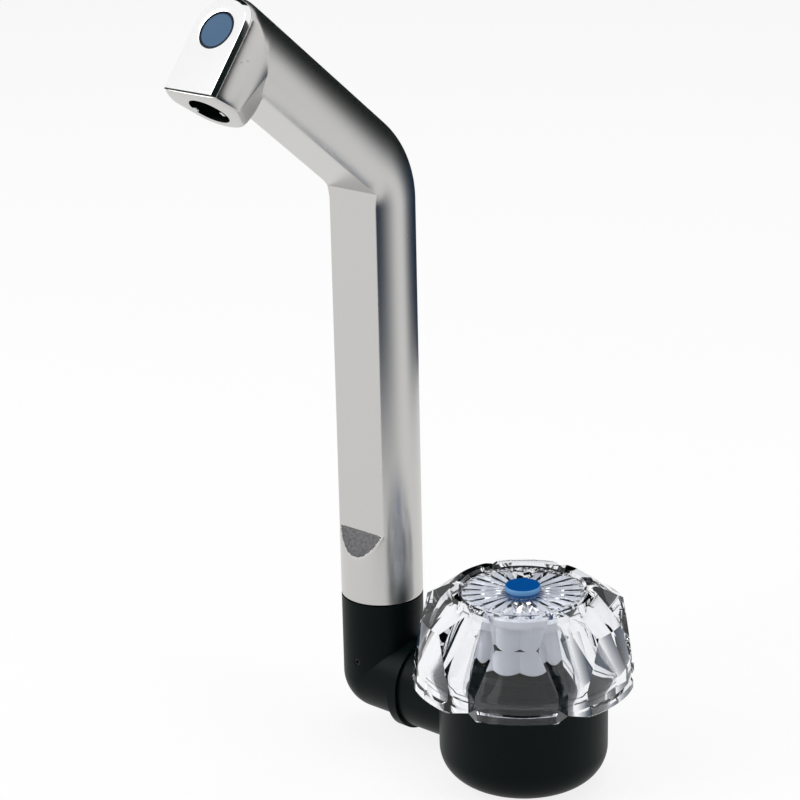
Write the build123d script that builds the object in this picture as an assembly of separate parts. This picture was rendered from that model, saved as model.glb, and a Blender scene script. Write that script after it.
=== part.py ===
from build123d import *
import os
from math import cos, pi, radians, sin, sqrt, tan

os.makedirs("parts", exist_ok=True)

# Folding cold-water tap for a worktop. Millimetres, +Z up.
# The origin is on the cup's axis where its gasket meets the worktop, and the spout reaches towards -Y.

# Clearances
running_gap = 0.1
face_gap = 0.15
thread_gap = 0.05
cut_margin = 5.0

# Worktop fixing
gasket_thickness = 1.0
neck_radius = 9.0
shank_radius = 8.0
shank_length = 42.0
inlet_bore_radius = 4.2

# Inlet stem
stem_thread_radius = 5.6
stem_thread_length = 8.0
stem_hex_flats = 13.0
stem_hex_height = 5.0
stem_radius = 5.0
stem_length = 18.0
stem_chamfer = 0.5
stem_bore_radius = 3.2

# Cup
cup_radius = 20.0
cup_foot_round = 8.0
cup_wall = 2.2
cup_height = 27.5
cover_thickness = 2.4
cover_ledge = 1.2
shroud_wall = 1.2
shroud_room = 0.3
shroud_chamfer = 1.0
shroud_drop = 0.6

# Side sleeve between the cup and the elbow
column_offset = 44.0
fold_drop = 12.0
sleeve_radius = 9.6
sleeve_drop = 1.65
collar_rise = 0.8
collar_width = 2.6
seam_offset = 10.0

# Valve chamber
valve_body_radius = 11.8
chamber_radius = 9.2
chamber_floor = 9.0
seat_radius = 6.8
seat_depth = 2.5
seat_bore_radius = 3.6
seat_lip_width = 1.2
seat_lip_rise = 0.8
boss_radius = 8.0
boss_reach = 15.2

# Valve washer and jumper
washer_radius = 5.4
washer_thickness = 2.5
jumper_flange_radius = 6.0
jumper_flange_thickness = 1.5
jumper_hex_flats = 9.4
jumper_hex_height = 5.0
jumper_stem_radius = 2.0
jumper_stem_length = 8.0
valve_lift = 1.9
washer_screw_radius = 1.0
washer_screw_head_radius = 2.2
washer_screw_head_height = 1.2
washer_screw_length = 7.0

# Bonnet
bonnet_guide_wall = 1.8
bonnet_thread_length = 7.0
bonnet_hex_flats = 21.0
bonnet_hex_height = 3.5
bonnet_neck_radius = 6.3
bonnet_rise = 5.5
bonnet_seal_section = 0.7

# Spindle
spindle_radius = 4.0
spindle_collar_radius = 5.8
spindle_collar_height = 3.0
spline_count = 16
spline_depth = 0.45
spline_length = 8.0
seal_section = 0.5

# Elbow and its pivots
tube_radius = 10.0
spigot_radius = 6.5
spigot_bore_radius = 3.6
groove_depth = 1.5
groove_width = 4.0
cross_hole_radius = 1.4
elbow_end_wall = 4.5
elbow_height = 20.5
swivel_depth = 12.0
pivot_seal_section = 0.6
lock_screw_radius = 0.9
lock_screw_rise = 4.9
lock_screw_dog_radius = 0.55
snap_ring_width = 0.9
snap_ring_bite = 0.6
snap_ring_opening = 40.0
snap_ring_drop = 2.9

# Spout
flat_share_angle = 45.0
spout_wall = 1.2
facet_start = 18.2
facet_slope = 66.0
bend_start = 98.7
bend_radius = 15.0
arm_angle = 39.0
arm_length = 48.4
nozzle_drop = 14.6
nozzle_back = 7.4
nozzle_back_lean = 14.0
outlet_setback = 1.2
outlet_radius = 4.75
insert_wall = 1.0
insert_recess = 1.5
insert_length = 8.0
lug_width = 1.8
plug_length = 10.4

# Nose plate and dot
nose_plate_thickness = 0.9
nose_plate_inset = 0.15
dot_radius = 4.5
dot_rise = 0.8
dot_gap = 0.1
dot_proud = 0.1

# Knob
knob_overlap = 2.0
knob_height = 23.2
knob_radius = 25.8
knob_bead_rise = 0.5
knob_bead_height = 2.2
shoulder_radius = 24.4
shoulder_drop = 5.4
ring_radius = 16.9
ring_width = 2.0
ring_rise = 0.6
top_plate_thickness = 1.9
skirt_clearance = 0.5
skirt_cavity_height = 4.0
insert_pocket_radius = 14.6
lobe_count = 6
lobe_turn = 35.0
notch_root_radius = 22.8
notch_half_angle = 56.0
notch_straight_height = 6.0
notch_top_radius = 18.0

# Hub insert, cap and screw of the knob
hub_radius = 12.2
hub_wall = 1.5
hub_length = 9.7
hub_flutes = 12
hub_flute_depth = 0.7
insert_flange_thickness = 2.0
spoke_count = 24
spoke_rise = 1.0
spoke_inner_radius = 5.2
spoke_fill = 0.8
socket_wall = 2.1
cap_radius = 4.2
cap_height = 1.2
cap_chamfer = 0.2
cap_stem_radius = 3.0
cap_stem_length = 2.6
knob_screw_radius = 1.5
knob_screw_head_radius = 3.1
knob_screw_head_height = 1.8
knob_screw_length = 9.0

# Sizes that follow from those above
cup_floor = gasket_thickness + cup_wall
fold_height = cup_height - fold_drop
knob_bottom = cup_height - knob_overlap
foot_radius = cup_radius - cup_foot_round
chamber_top = cup_height - cover_thickness
seat_lip_top = chamber_floor + seat_lip_rise
jumper_bottom = seat_lip_top + washer_thickness
jumper_hex_bottom = jumper_bottom + jumper_flange_thickness
jumper_hex_top = jumper_hex_bottom + jumper_hex_height
jumper_stem_top = jumper_hex_top + jumper_stem_length
guide_flats = jumper_hex_flats + 2 * running_gap
guide_bottom = jumper_hex_bottom + valve_lift + 2 * running_gap
guide_top = jumper_hex_top + valve_lift + 2 * running_gap
guide_radius = guide_flats / sqrt(3) + bonnet_guide_wall
bonnet_thread_bottom = cup_height - bonnet_thread_length
bonnet_hex_top = chamber_top + bonnet_hex_height
bonnet_top = cup_height + bonnet_rise
spindle_bottom = guide_top + running_gap
spindle_collar_top = spindle_bottom + spindle_collar_height
knob_top = knob_bottom + knob_height
plate_top = knob_top - ring_rise
plate_bottom = plate_top - top_plate_thickness
insert_flange_top = plate_bottom - face_gap - spoke_rise
insert_flange_bottom = insert_flange_top - insert_flange_thickness
hub_bottom = insert_flange_bottom - hub_length
screw_seat = insert_flange_top - knob_screw_head_height
spindle_top = screw_seat - cap_height
column_x = -column_offset
seam_x = column_x + seam_offset
spigot_end_x = column_x - tube_radius + elbow_end_wall
elbow_top = fold_height + elbow_height
spout_bottom = elbow_top + face_gap
swivel_socket_bottom = elbow_top - swivel_depth - running_gap
flat_offset = tube_radius * cos(radians(flat_share_angle))
bend_z = elbow_top + bend_start
bend_turn = 90.0 - arm_angle
arm_direction = Vector(0, -cos(radians(arm_angle)), sin(radians(arm_angle)))
arm_up = Vector(0, sin(radians(arm_angle)), cos(radians(arm_angle)))
bend_end = Vector(column_x, -bend_radius * (1 - cos(radians(bend_turn))),
                  bend_z + bend_radius * sin(radians(bend_turn)))
head_centre = bend_end + arm_direction * arm_length
head_plane = Plane(origin=head_centre, x_dir=(1, 0, 0), z_dir=arm_direction)
nose_seat = flat_offset - nose_plate_thickness
dot_place = Location((0, dot_rise, 0))
column_axis = Location((column_x, 0, 0))
fold_axis = Plane(origin=(0, 0, fold_height), x_dir=(0, 1, 0), z_dir=(-1, 0, 0))


def rod(radius, bottom, top):
    """Round bar along +Z between two heights."""
    return Cylinder(radius, top - bottom, align=(Align.CENTER, Align.CENTER, Align.MIN)).moved(
        Location((0, 0, bottom)))


def ring(outer, inner, bottom, top):
    """Round bar with a through bore."""
    return rod(outer, bottom, top) - rod(inner, bottom - cut_margin, top + cut_margin)


def hex_bar(flats, bottom, top):
    """Hexagonal bar along +Z, measured across its flats."""
    section = RegularPolygon(flats / sqrt(3), 6, major_radius=True)
    return extrude(section, top - bottom).moved(Location((0, 0, bottom)))


def seal_ring(middle_radius, section_radius, height):
    """Rubber ring of round section about +Z."""
    return Torus(middle_radius, section_radius).moved(Location((0, 0, height)))


def on_fold_axis(shape):
    """A shape made along +Z, laid along the fold axis with its heights counted from the cup's axis."""
    return fold_axis.location * shape


def turned(profile):
    """A solid of revolution about Z from points (radius, height)."""
    outline = Polyline(*[(r, 0, z) for r, z in profile], close=True)
    return revolve(make_face(outline), Axis.Z)


def save(shape, name):
    """Writes one piece; a fused shape is kept whole."""
    shape.label = name
    export_step(shape, f"parts/{name}.step")


def cup_outline(inset):
    """The cup's closed solid, drawn in by an inset that keeps the rounded foot concentric."""
    radius = cup_radius - inset
    bottom = gasket_thickness + inset
    round_radius = cup_foot_round - inset
    centre_z = gasket_thickness + cup_foot_round
    corner = round_radius * sin(radians(45))
    edge = [Line((0, 0, bottom), (foot_radius, 0, bottom)),
            ThreePointArc((foot_radius, 0, bottom), (foot_radius + corner, 0, centre_z - corner),
                          (radius, 0, centre_z)),
            Line((radius, 0, centre_z), (radius, 0, cup_height)),
            Line((radius, 0, cup_height), (0, 0, cup_height)),
            Line((0, 0, cup_height), (0, 0, bottom))]
    return revolve(make_face(edge), Axis.Z)


def sleeve_outline(radius, start_x, end_x):
    """The sleeve's bar: a round top half, carried straight down into a lower half circle."""
    upper = Pos(0, 0) * Circle(radius)
    lower = Pos(0, -sleeve_drop) * Circle(radius)
    middle = Pos(0, -sleeve_drop / 2) * Rectangle(2 * radius, sleeve_drop)
    section = upper + middle + lower
    across = Plane(origin=(start_x, 0, fold_height), x_dir=(0, -1, 0), z_dir=(-1, 0, 0))
    return across.location * extrude(section, start_x - end_x)


def base_shell():
    """Cup with its side sleeve, open at the top and bored for the shank and the fold spigot."""
    collar_start = seam_x + collar_width
    cavity = cup_outline(cup_wall)
    shell = cup_outline(0) + sleeve_outline(sleeve_radius, -foot_radius, seam_x)
    shell += sleeve_outline(sleeve_radius + collar_rise, collar_start, seam_x)
    shell -= cavity
    shell -= rod(cup_radius - cover_ledge, chamber_top, cup_height + cut_margin)
    shell -= rod(neck_radius + running_gap, 0, cup_height)
    shell -= on_fold_axis(rod(spigot_radius + thread_gap, foot_radius, column_offset))
    return shell


def deck_gasket():
    return ring(foot_radius - running_gap, neck_radius + running_gap, 0, gasket_thickness)


def valve_body():
    """Brass body: threaded shank and neck, valve chamber and the side boss that carries the fold spigot."""
    body = rod(shank_radius, -shank_length, 0) + rod(neck_radius, 0, cup_floor)
    body += rod(valve_body_radius, cup_floor, chamber_top)
    body += on_fold_axis(rod(boss_radius, 0, boss_reach))
    body -= rod(chamber_radius, chamber_floor, cup_height)
    body -= rod(seat_radius, chamber_floor - seat_depth, cup_height)
    body -= rod(inlet_bore_radius, -shank_length - cut_margin, cup_height)
    body -= rod(stem_thread_radius, -shank_length - cut_margin, stem_thread_length - shank_length)
    body -= on_fold_axis(rod(spigot_bore_radius, 0, boss_reach + cut_margin))
    body -= on_fold_axis(rod(spigot_radius + thread_gap, boss_reach - elbow_end_wall,
                             boss_reach + cut_margin))
    return body


def inlet_stem():
    """Inlet stem screwed into the shank: hexagon and a plain round stem for a push-on hose socket."""
    hex_top = -shank_length
    hex_bottom = hex_top - stem_hex_height
    end = hex_bottom - stem_length
    stem = rod(stem_thread_radius - thread_gap, hex_top, hex_top + stem_thread_length - thread_gap)
    stem += hex_bar(stem_hex_flats, hex_bottom, hex_top)
    stem += rod(stem_radius, end + stem_chamfer, hex_bottom)
    stem += turned([(0, end), (stem_radius - stem_chamfer, end), (stem_radius, end + stem_chamfer),
                    (0, end + stem_chamfer)])
    return stem - rod(stem_bore_radius, end - cut_margin, hex_top + stem_thread_length + cut_margin)


def base_cover():
    """Disc that closes the cup, with a raised shroud over the bonnet's hexagon."""
    rim = cup_radius - cover_ledge - running_gap
    hex_room = bonnet_hex_flats / sqrt(3) + shroud_room
    neck_room = bonnet_neck_radius + running_gap
    outside = hex_room + shroud_wall
    top = bonnet_top - shroud_drop
    return turned([(hex_room, chamber_top), (rim, chamber_top), (rim, cup_height), (outside, cup_height),
                   (outside, top - shroud_chamfer), (outside - shroud_chamfer, top), (neck_room, top),
                   (neck_room, top - shroud_wall), (hex_room, top - shroud_wall)])


def valve_seat():
    """Seat ring with a raised lip for the washer."""
    lip_radius = seat_bore_radius + seat_lip_width
    seat = rod(seat_radius - thread_gap, chamber_floor - seat_depth, chamber_floor)
    seat += rod(lip_radius, chamber_floor, seat_lip_top)
    return seat - rod(seat_bore_radius, 0, cup_height)


def valve_washer():
    washer = rod(washer_radius, seat_lip_top, jumper_bottom)
    return washer - rod(washer_screw_radius, 0, cup_height) - rod(
        washer_screw_head_radius + running_gap, 0, seat_lip_top + washer_screw_head_height)


def washer_screw():
    head_top = seat_lip_top + washer_screw_head_height
    return rod(washer_screw_head_radius, seat_lip_top, head_top) + rod(
        washer_screw_radius, head_top, head_top + washer_screw_length)


def jumper():
    """Hexagonal slider with a flange for the washer and a threaded stem."""
    slider = rod(jumper_flange_radius, jumper_bottom, jumper_hex_bottom)
    slider += hex_bar(jumper_hex_flats, jumper_hex_bottom, jumper_hex_top)
    slider += rod(jumper_stem_radius, jumper_hex_top, jumper_stem_top)
    screw_top = seat_lip_top + washer_screw_head_height + washer_screw_length
    return slider - rod(washer_screw_radius, 0, screw_top + running_gap)


def bonnet():
    """Headworks: hexagonal guide below, thread, spanner hexagon seated on the body and neck above."""
    body = rod(guide_radius, guide_bottom, bonnet_thread_bottom)
    body += rod(chamber_radius - thread_gap, bonnet_thread_bottom, chamber_top)
    body += hex_bar(bonnet_hex_flats, chamber_top, bonnet_hex_top)
    body += rod(bonnet_neck_radius, bonnet_hex_top, bonnet_top)
    body -= hex_bar(guide_flats, guide_bottom - cut_margin, guide_top)
    body -= rod(spindle_collar_radius + running_gap, guide_top, spindle_collar_top + running_gap)
    return body - rod(spindle_radius + running_gap, guide_top, bonnet_top + cut_margin)


def bonnet_seal():
    return seal_ring(chamber_radius - bonnet_seal_section - running_gap, bonnet_seal_section,
                     bonnet_thread_bottom - bonnet_seal_section)


def seal_heights():
    """Heights of the two rubber rings in the bonnet's neck."""
    middle = (spindle_collar_top + bonnet_top) / 2
    return [middle - 3 * seal_section, middle + 3 * seal_section]


def spindle():
    """Brass spindle: thrust collar, two seal grooves, splined head and a threaded bore for the jumper."""
    spline_bottom = spindle_top - spline_length
    shaft = rod(spindle_collar_radius, spindle_bottom, spindle_collar_top)
    shaft += rod(spindle_radius, spindle_collar_top, spindle_top)
    pitch = 360.0 / spline_count
    tooth_space = 2 * spindle_radius * sin(radians(pitch / 4))
    for step in range(spline_count):
        slot = Box(2 * spline_depth, tooth_space, spline_length + cut_margin,
                   align=(Align.CENTER, Align.CENTER, Align.MIN))
        shaft -= Rot(0, 0, step * pitch) * slot.moved(Location((spindle_radius, 0, spline_bottom)))
    for height in seal_heights():
        low = height - seal_section - running_gap
        high = height + seal_section + running_gap
        shaft -= ring(spindle_radius + cut_margin, spindle_radius - 2 * seal_section, low, high)
    stem_room = jumper_stem_top + valve_lift + running_gap
    shaft -= rod(jumper_stem_radius + running_gap, 0, stem_room)
    return shaft - rod(knob_screw_radius, screw_seat - knob_screw_length - running_gap, knob_top)


def spindle_seals():
    """Two rubber rings round the spindle."""
    rings = [seal_ring(spindle_radius - seal_section, seal_section, height) for height in seal_heights()]
    return Compound(children=rings)


def fold_seal_places():
    """Distances of the fold spigot's two rubber rings from the cup's axis."""
    clear = groove_width / 2 + 2 * pivot_seal_section
    return [column_offset - clear - pivot_seal_section, column_offset + clear]


def fold_spigot():
    """Hollow brass spigot on the fold axis: closed end, water groove with cross holes, two seal grooves."""
    start = boss_reach - elbow_end_wall + running_gap
    end = -spigot_end_x - running_gap
    bar = rod(spigot_radius, start, end)
    bar -= rod(spigot_bore_radius, start - cut_margin, column_offset + groove_width / 2)
    low = column_offset - groove_width / 2
    bar -= ring(spigot_radius + cut_margin, spigot_radius - groove_depth, low, low + groove_width)
    for turn in (0, 90):
        hole = Cylinder(cross_hole_radius, 4 * spigot_radius, rotation=(90, 0, turn))
        bar -= hole.moved(Location((0, 0, column_offset)))
    for place in fold_seal_places():
        low = place - pivot_seal_section - running_gap
        high = place + pivot_seal_section + running_gap
        bar -= ring(spigot_radius + cut_margin, spigot_radius - 2 * pivot_seal_section, low, high)
    return on_fold_axis(bar)


def fold_seals():
    """Two rubber rings on the fold spigot."""
    middle = spigot_radius - pivot_seal_section
    rings = [on_fold_axis(seal_ring(middle, pivot_seal_section, place)) for place in fold_seal_places()]
    return Compound(children=rings)


def elbow():
    """Black elbow: a ball where two tubes meet, bored for both pivots and the lock screw."""
    corner = Sphere(tube_radius).moved(Location((column_x, 0, fold_height)))
    body = corner + column_axis * rod(tube_radius, fold_height, elbow_top)
    body += on_fold_axis(rod(tube_radius, -seam_x + face_gap, column_offset))
    body -= on_fold_axis(rod(spigot_radius + running_gap, 0, -spigot_end_x))
    body -= column_axis * rod(spigot_radius + running_gap, swivel_socket_bottom, elbow_top + cut_margin)
    body -= column_axis * rod(spigot_bore_radius, fold_height, elbow_top)
    snap = snap_ring_height()
    groove = ring(spigot_radius + snap_ring_bite + 2 * running_gap, spigot_radius,
                  snap - snap_ring_width / 2 - running_gap, snap + snap_ring_width / 2 + running_gap)
    body -= column_axis * groove
    return body - lock_screw_hole()


def lock_screw_plane():
    """Plane on the column's axis, above the fold axis, that faces the elbow's front."""
    return Plane(origin=(column_x, 0, fold_height + lock_screw_rise), x_dir=(1, 0, 0), z_dir=(0, -1, 0))


def lock_screw_hole():
    """Hole in the elbow's front, down into the spigot's bore."""
    return lock_screw_plane().location * rod(lock_screw_radius, spigot_bore_radius, tube_radius + cut_margin)


def lock_screw():
    """Grub screw whose dog runs in the fold spigot's groove and holds the elbow on."""
    outer = tube_radius - 2 * running_gap
    low_edge = lock_screw_rise - lock_screw_radius
    shoulder = sqrt((spigot_radius + running_gap) ** 2 - low_edge ** 2) + running_gap
    reach = sqrt((spigot_radius - groove_depth / 3) ** 2 - lock_screw_rise ** 2)
    screw = rod(lock_screw_radius - thread_gap, shoulder, outer)
    screw += rod(lock_screw_dog_radius, reach, shoulder)
    screw -= hex_bar(lock_screw_radius, outer - lock_screw_radius, outer + cut_margin)
    return lock_screw_plane().location * screw


def snap_ring_height():
    """Height of the snap ring's middle."""
    return elbow_top - snap_ring_drop


def snap_ring():
    """Open wire ring in matching grooves of the spout's spigot and the elbow."""
    low = snap_ring_height() - snap_ring_width / 2
    wire = ring(spigot_radius + snap_ring_bite, spigot_radius - snap_ring_bite + running_gap,
                low, low + snap_ring_width)
    gap = 2 * spigot_radius * sin(radians(snap_ring_opening / 2))
    slot = Box(2 * spigot_radius, gap, 4 * snap_ring_width, align=(Align.MIN, Align.CENTER, Align.CENTER))
    return column_axis * (wire - slot.moved(Location((0, 0, low))))


def spout_seal_heights():
    low = elbow_top - swivel_depth + 3 * pivot_seal_section
    return [low, low + 4 * pivot_seal_section]


def spout_spigot():
    """Plug glued in the spout's foot, with the swivel spigot below it."""
    bottom = elbow_top - swivel_depth
    plug_top = spout_bottom + plug_length
    piece = rod(spigot_radius, bottom, spout_bottom)
    piece += rod(tube_radius - spout_wall - thread_gap, spout_bottom, plug_top)
    piece -= rod(spigot_bore_radius, bottom - cut_margin, plug_top + cut_margin)
    for height in spout_seal_heights():
        low = height - pivot_seal_section - running_gap
        high = height + pivot_seal_section + running_gap
        piece -= ring(spigot_radius + cut_margin, spigot_radius - 2 * pivot_seal_section, low, high)
    snap = snap_ring_height()
    piece -= ring(spigot_radius + cut_margin, spigot_radius - snap_ring_bite,
                  snap - snap_ring_width / 2 - running_gap, snap + snap_ring_width / 2 + running_gap)
    return column_axis * piece


def spout_seals():
    """Two rubber rings on the swivel spigot."""
    middle = spigot_radius - pivot_seal_section
    rings = [column_axis * seal_ring(middle, pivot_seal_section, height) for height in spout_seal_heights()]
    return Compound(children=rings)


def bent_bar(radius, bottom, arm_end):
    """Round bar up the column, round the bend and along the arm."""
    column = column_axis * rod(radius, bottom, bend_z)
    disc = Plane(origin=(column_x, 0, bend_z), x_dir=(1, 0, 0), z_dir=(0, 0, 1)).location * Circle(radius)
    pivot = Axis((column_x, -bend_radius, bend_z), (1, 0, 0))
    corner = revolve(disc, pivot, revolution_arc=bend_turn)
    arm = Plane(origin=bend_end, x_dir=(1, 0, 0), z_dir=arm_direction).location * rod(radius, 0, arm_end)
    return column + corner + arm


def under_cut(inset):
    """Prism that planes the front of the column and the underside of the arm flat."""
    offset = flat_offset - inset
    slope = tan(radians(facet_slope))
    start = elbow_top + facet_start + inset
    run_out = 2 * tube_radius
    half_turn = radians(bend_turn / 2)
    corner_y = -offset
    corner_z = bend_z + (bend_radius - offset) * tan(half_turn)
    reach = arm_length + bend_radius
    far = Vector(0, corner_y, corner_z) + arm_direction * reach
    outline = Polyline((0, corner_y, start), (0, corner_y, corner_z), (0, far.Y, far.Z),
                       (0, far.Y - run_out, start - run_out * slope),
                       (0, corner_y - run_out, start - run_out * slope), close=True)
    prism = extrude(make_face(outline), 2 * tube_radius, dir=(1, 0, 0), both=True)
    return prism.moved(Location((column_x, 0, 0)))


def head_prism(low, high):
    """Wide slab square to the arm, between two distances in front of the head's centre."""
    slab = Box(6 * tube_radius, 6 * tube_radius, high - low, align=(Align.CENTER, Align.CENTER, Align.MIN))
    return head_plane.location * slab.moved(Location((0, 0, low)))


def nozzle_axis(setback):
    """Plane at the head's centre that looks down the nozzle, moved back from the nose by a setback."""
    origin = head_centre - arm_direction * setback
    return Plane(origin=origin, x_dir=(1, 0, 0), z_dir=arm_up * -1)


def head_corner(radius):
    """Top corner of the head, shared by the arm run on forwards and the nozzle run on upwards."""
    forwards = head_plane.location * rod(radius, 0, radius)
    upwards = nozzle_axis(0).location * rod(radius, -radius, 0)
    return forwards & upwards


def spout_tube():
    """Drawn metal spout: round tube planed flat in front, bent arm, mitred head and nozzle, hollow inside."""
    outer = bent_bar(tube_radius, spout_bottom, arm_length) + head_corner(tube_radius)
    outer -= under_cut(0)
    nozzle = nozzle_axis(0).location * rod(tube_radius, 0, nozzle_drop)
    lean = tan(radians(nozzle_back_lean))
    heel = Polyline((0, -nozzle_back, nozzle_drop), (0, -nozzle_back - lean * nozzle_drop, 0),
                    (0, -3 * tube_radius, 0), (0, -3 * tube_radius, nozzle_drop), close=True)
    heel_cut = extrude(make_face(heel), 2 * tube_radius, dir=(1, 0, 0), both=True)
    nozzle -= nozzle_axis(0).location * heel_cut
    outer += nozzle
    outer -= head_prism(nose_seat, 4 * tube_radius)
    inner_radius = tube_radius - spout_wall
    inner = bent_bar(inner_radius, spout_bottom - cut_margin, arm_length) - under_cut(spout_wall)
    inner += head_plane.location * Sphere(inner_radius)
    inner -= head_prism(nose_seat - spout_wall, 4 * tube_radius)
    outer -= inner
    bore = nozzle_axis(outlet_setback).location * rod(outlet_radius, 0, nozzle_drop + cut_margin)
    return outer - bore


def nose_outline(inset):
    """Outline on the head's plane: straight sides, a square foot and a top rounded like the tube."""
    half = flat_offset - inset
    crown = tube_radius - inset
    shoulder = sqrt(crown ** 2 - half ** 2)
    foot = -nozzle_drop + inset
    edge = [Line((-half, shoulder), (-half, foot)), Line((-half, foot), (half, foot)),
            Line((half, foot), (half, shoulder)), ThreePointArc((half, shoulder), (0, crown), (-half, shoulder))]
    return make_face(edge)


def nose_plate():
    """Polished plate on the head's nose, bored for the dot."""
    plate = extrude(nose_outline(nose_plate_inset), nose_plate_thickness)
    plate = plate.moved(Location((0, 0, nose_seat)))
    plate -= dot_place * rod(dot_radius + dot_gap, nose_seat - cut_margin, flat_offset + cut_margin)
    return head_plane.location * plate


def cold_dot():
    return head_plane.location * dot_place * rod(dot_radius, nose_seat, flat_offset + dot_proud)


def outlet_insert():
    """Nozzle insert with two lugs at its mouth."""
    outer = outlet_radius - thread_gap
    mouth = nozzle_drop - insert_recess
    top = mouth - insert_length
    piece = rod(outer, top, mouth)
    piece -= rod(outer - insert_wall, top - cut_margin, mouth + cut_margin)
    for side in (-1, 1):
        lug = Box(insert_wall - 2 * thread_gap, lug_width, insert_recess,
                  align=(Align.MAX, Align.CENTER, Align.MIN))
        piece += Rot(0, 0, 90 - 90 * side) * lug.moved(Location((outer - thread_gap, 0, mouth)))
    return nozzle_axis(outlet_setback).location * piece


def knob_blank():
    """The knob's turned form before its lobes are cut: bead, tapered side, sloping shoulder and rim."""
    bead = knob_radius + knob_bead_rise
    bead_top = knob_bottom + knob_bead_height
    return turned([(0, knob_bottom), (bead - knob_bead_rise, knob_bottom), (bead, knob_bottom + knob_bead_rise),
                   (bead, bead_top), (knob_radius, bead_top + knob_bead_rise),
                   (shoulder_radius, knob_top - shoulder_drop), (ring_radius, knob_top),
                   (ring_radius - ring_width, knob_top), (ring_radius - ring_width - ring_rise, plate_top),
                   (0, plate_top)])


def knob_cavity():
    """The knob's inside: a skirt that clears the cup, a taper and a pocket for the hub insert."""
    skirt = cup_radius + skirt_clearance
    skirt_top = knob_bottom + skirt_cavity_height
    return turned([(0, knob_bottom - cut_margin), (skirt, knob_bottom - cut_margin), (skirt, skirt_top),
                   (insert_pocket_radius, insert_flange_bottom), (insert_pocket_radius, plate_bottom),
                   (0, plate_bottom)])


def knob_notch(root_low, root_high, bottom, top):
    """V-shaped groove between two lobes, its root leaning from one radius to another."""
    width = knob_radius * tan(radians(notch_half_angle))
    sections = []
    for root, height in ((root_low, bottom), (root_high, top)):
        outline = Polyline((root, 0), (root + knob_radius, width), (root + knob_radius, -width), close=True)
        sections.append(Plane(origin=(0, 0, height)).location * make_face(outline))
    return loft(sections, ruled=True)


def knob():
    """Clear lobed knob: a turned blank with grooves between the lobes that open out towards the top."""
    body = knob_blank()
    bend = knob_bottom + notch_straight_height
    shoulder = knob_top - shoulder_drop
    lean = (notch_root_radius - notch_top_radius) / (shoulder - bend)
    top = knob_top + cut_margin
    upper_root = notch_root_radius - lean * (top - bend)
    straight = knob_notch(notch_root_radius, notch_root_radius, knob_bottom - cut_margin, top)
    leaning = knob_notch(notch_root_radius, upper_root, bend, top)
    for step in range(lobe_count):
        turn = lobe_turn - 90 + (step + 0.5) * 360.0 / lobe_count
        body -= Rot(0, 0, turn) * straight
        body -= Rot(0, 0, turn) * leaning
    body -= knob_cavity()
    return body - rod(cap_stem_radius + running_gap, plate_bottom - cut_margin, knob_top)


def hub_insert():
    """Fluted hub glued in the knob: flange with sunburst spokes, splined socket and outer skirt."""
    insert = rod(insert_pocket_radius - running_gap, insert_flange_bottom, insert_flange_top)
    skirt = ring(hub_radius, hub_radius - hub_wall, hub_bottom, insert_flange_bottom)
    flute = Cylinder(3 * hub_flute_depth, hub_length + cut_margin, align=(Align.CENTER, Align.CENTER, Align.MAX))
    flute_centre = hub_radius + 2 * hub_flute_depth
    for step in range(hub_flutes):
        place = Location((flute_centre, 0, insert_flange_bottom - 2 * hub_flute_depth))
        skirt -= Rot(0, 0, (step + 0.5) * 360.0 / hub_flutes + lobe_turn) * flute.moved(place)
    insert += skirt
    insert += rod(spindle_radius + socket_wall, spindle_top - spline_length, insert_flange_bottom)
    spoke_length = insert_pocket_radius - running_gap - spoke_inner_radius
    spoke_width = spoke_inner_radius * 2 * pi / spoke_count * spoke_fill
    spoke_face = make_face(Polyline((0, -spoke_width / 2, 0), (0, spoke_width / 2, 0), (0, 0, spoke_rise),
                                    close=True))
    spoke = extrude(spoke_face, spoke_length, dir=(1, 0, 0))
    for step in range(spoke_count):
        insert += Rot(0, 0, step * 360.0 / spoke_count) * spoke.moved(
            Location((spoke_inner_radius, 0, insert_flange_top)))
    insert -= rod(spindle_radius + thread_gap, hub_bottom, spindle_top + thread_gap)
    insert -= rod(knob_screw_radius + running_gap, spindle_top, knob_top)
    return insert - rod(knob_screw_head_radius + running_gap, screw_seat, knob_top)


def knob_screw():
    """Pan-headed screw that holds the hub on the spindle, with a cross-wise slot."""
    head_top = screw_seat + knob_screw_head_height
    screw = rod(knob_screw_head_radius, screw_seat, head_top)
    screw += rod(knob_screw_radius - thread_gap, screw_seat - knob_screw_length, screw_seat)
    slot = Box(3 * knob_screw_head_radius, knob_screw_radius / 2, knob_screw_head_height)
    return screw - slot.moved(Location((0, 0, head_top)))


def cold_cap():
    """Blue cap with a plug that snaps into the knob's top."""
    cap = rod(cap_radius, plate_top, plate_top + cap_height)
    cap = chamfer(cap.edges().sort_by(Axis.Z)[-1], cap_chamfer)
    return cap + rod(cap_stem_radius, plate_top - cap_stem_length, plate_top)


pieces = {
    "base_shell": base_shell,
    "base_cover": base_cover,
    "deck_gasket": deck_gasket,
    "valve_body": valve_body,
    "inlet_stem": inlet_stem,
    "valve_seat": valve_seat,
    "bonnet": bonnet,
    "bonnet_seal": bonnet_seal,
    "valve_washer": valve_washer,
    "washer_screw": washer_screw,
    "jumper": jumper,
    "spindle": spindle,
    "spindle_seals": spindle_seals,
    "knob": knob,
    "hub_insert": hub_insert,
    "knob_screw": knob_screw,
    "cold_cap": cold_cap,
    "fold_spigot": fold_spigot,
    "fold_seals": fold_seals,
    "elbow": elbow,
    "lock_screw": lock_screw,
    "snap_ring": snap_ring,
    "spout_spigot": spout_spigot,
    "spout_seals": spout_seals,
    "spout_tube": spout_tube,
    "nose_plate": nose_plate,
    "cold_dot": cold_dot,
    "outlet_insert": outlet_insert,
}

for piece_name, make in pieces.items():
    save(make(), piece_name)
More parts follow.
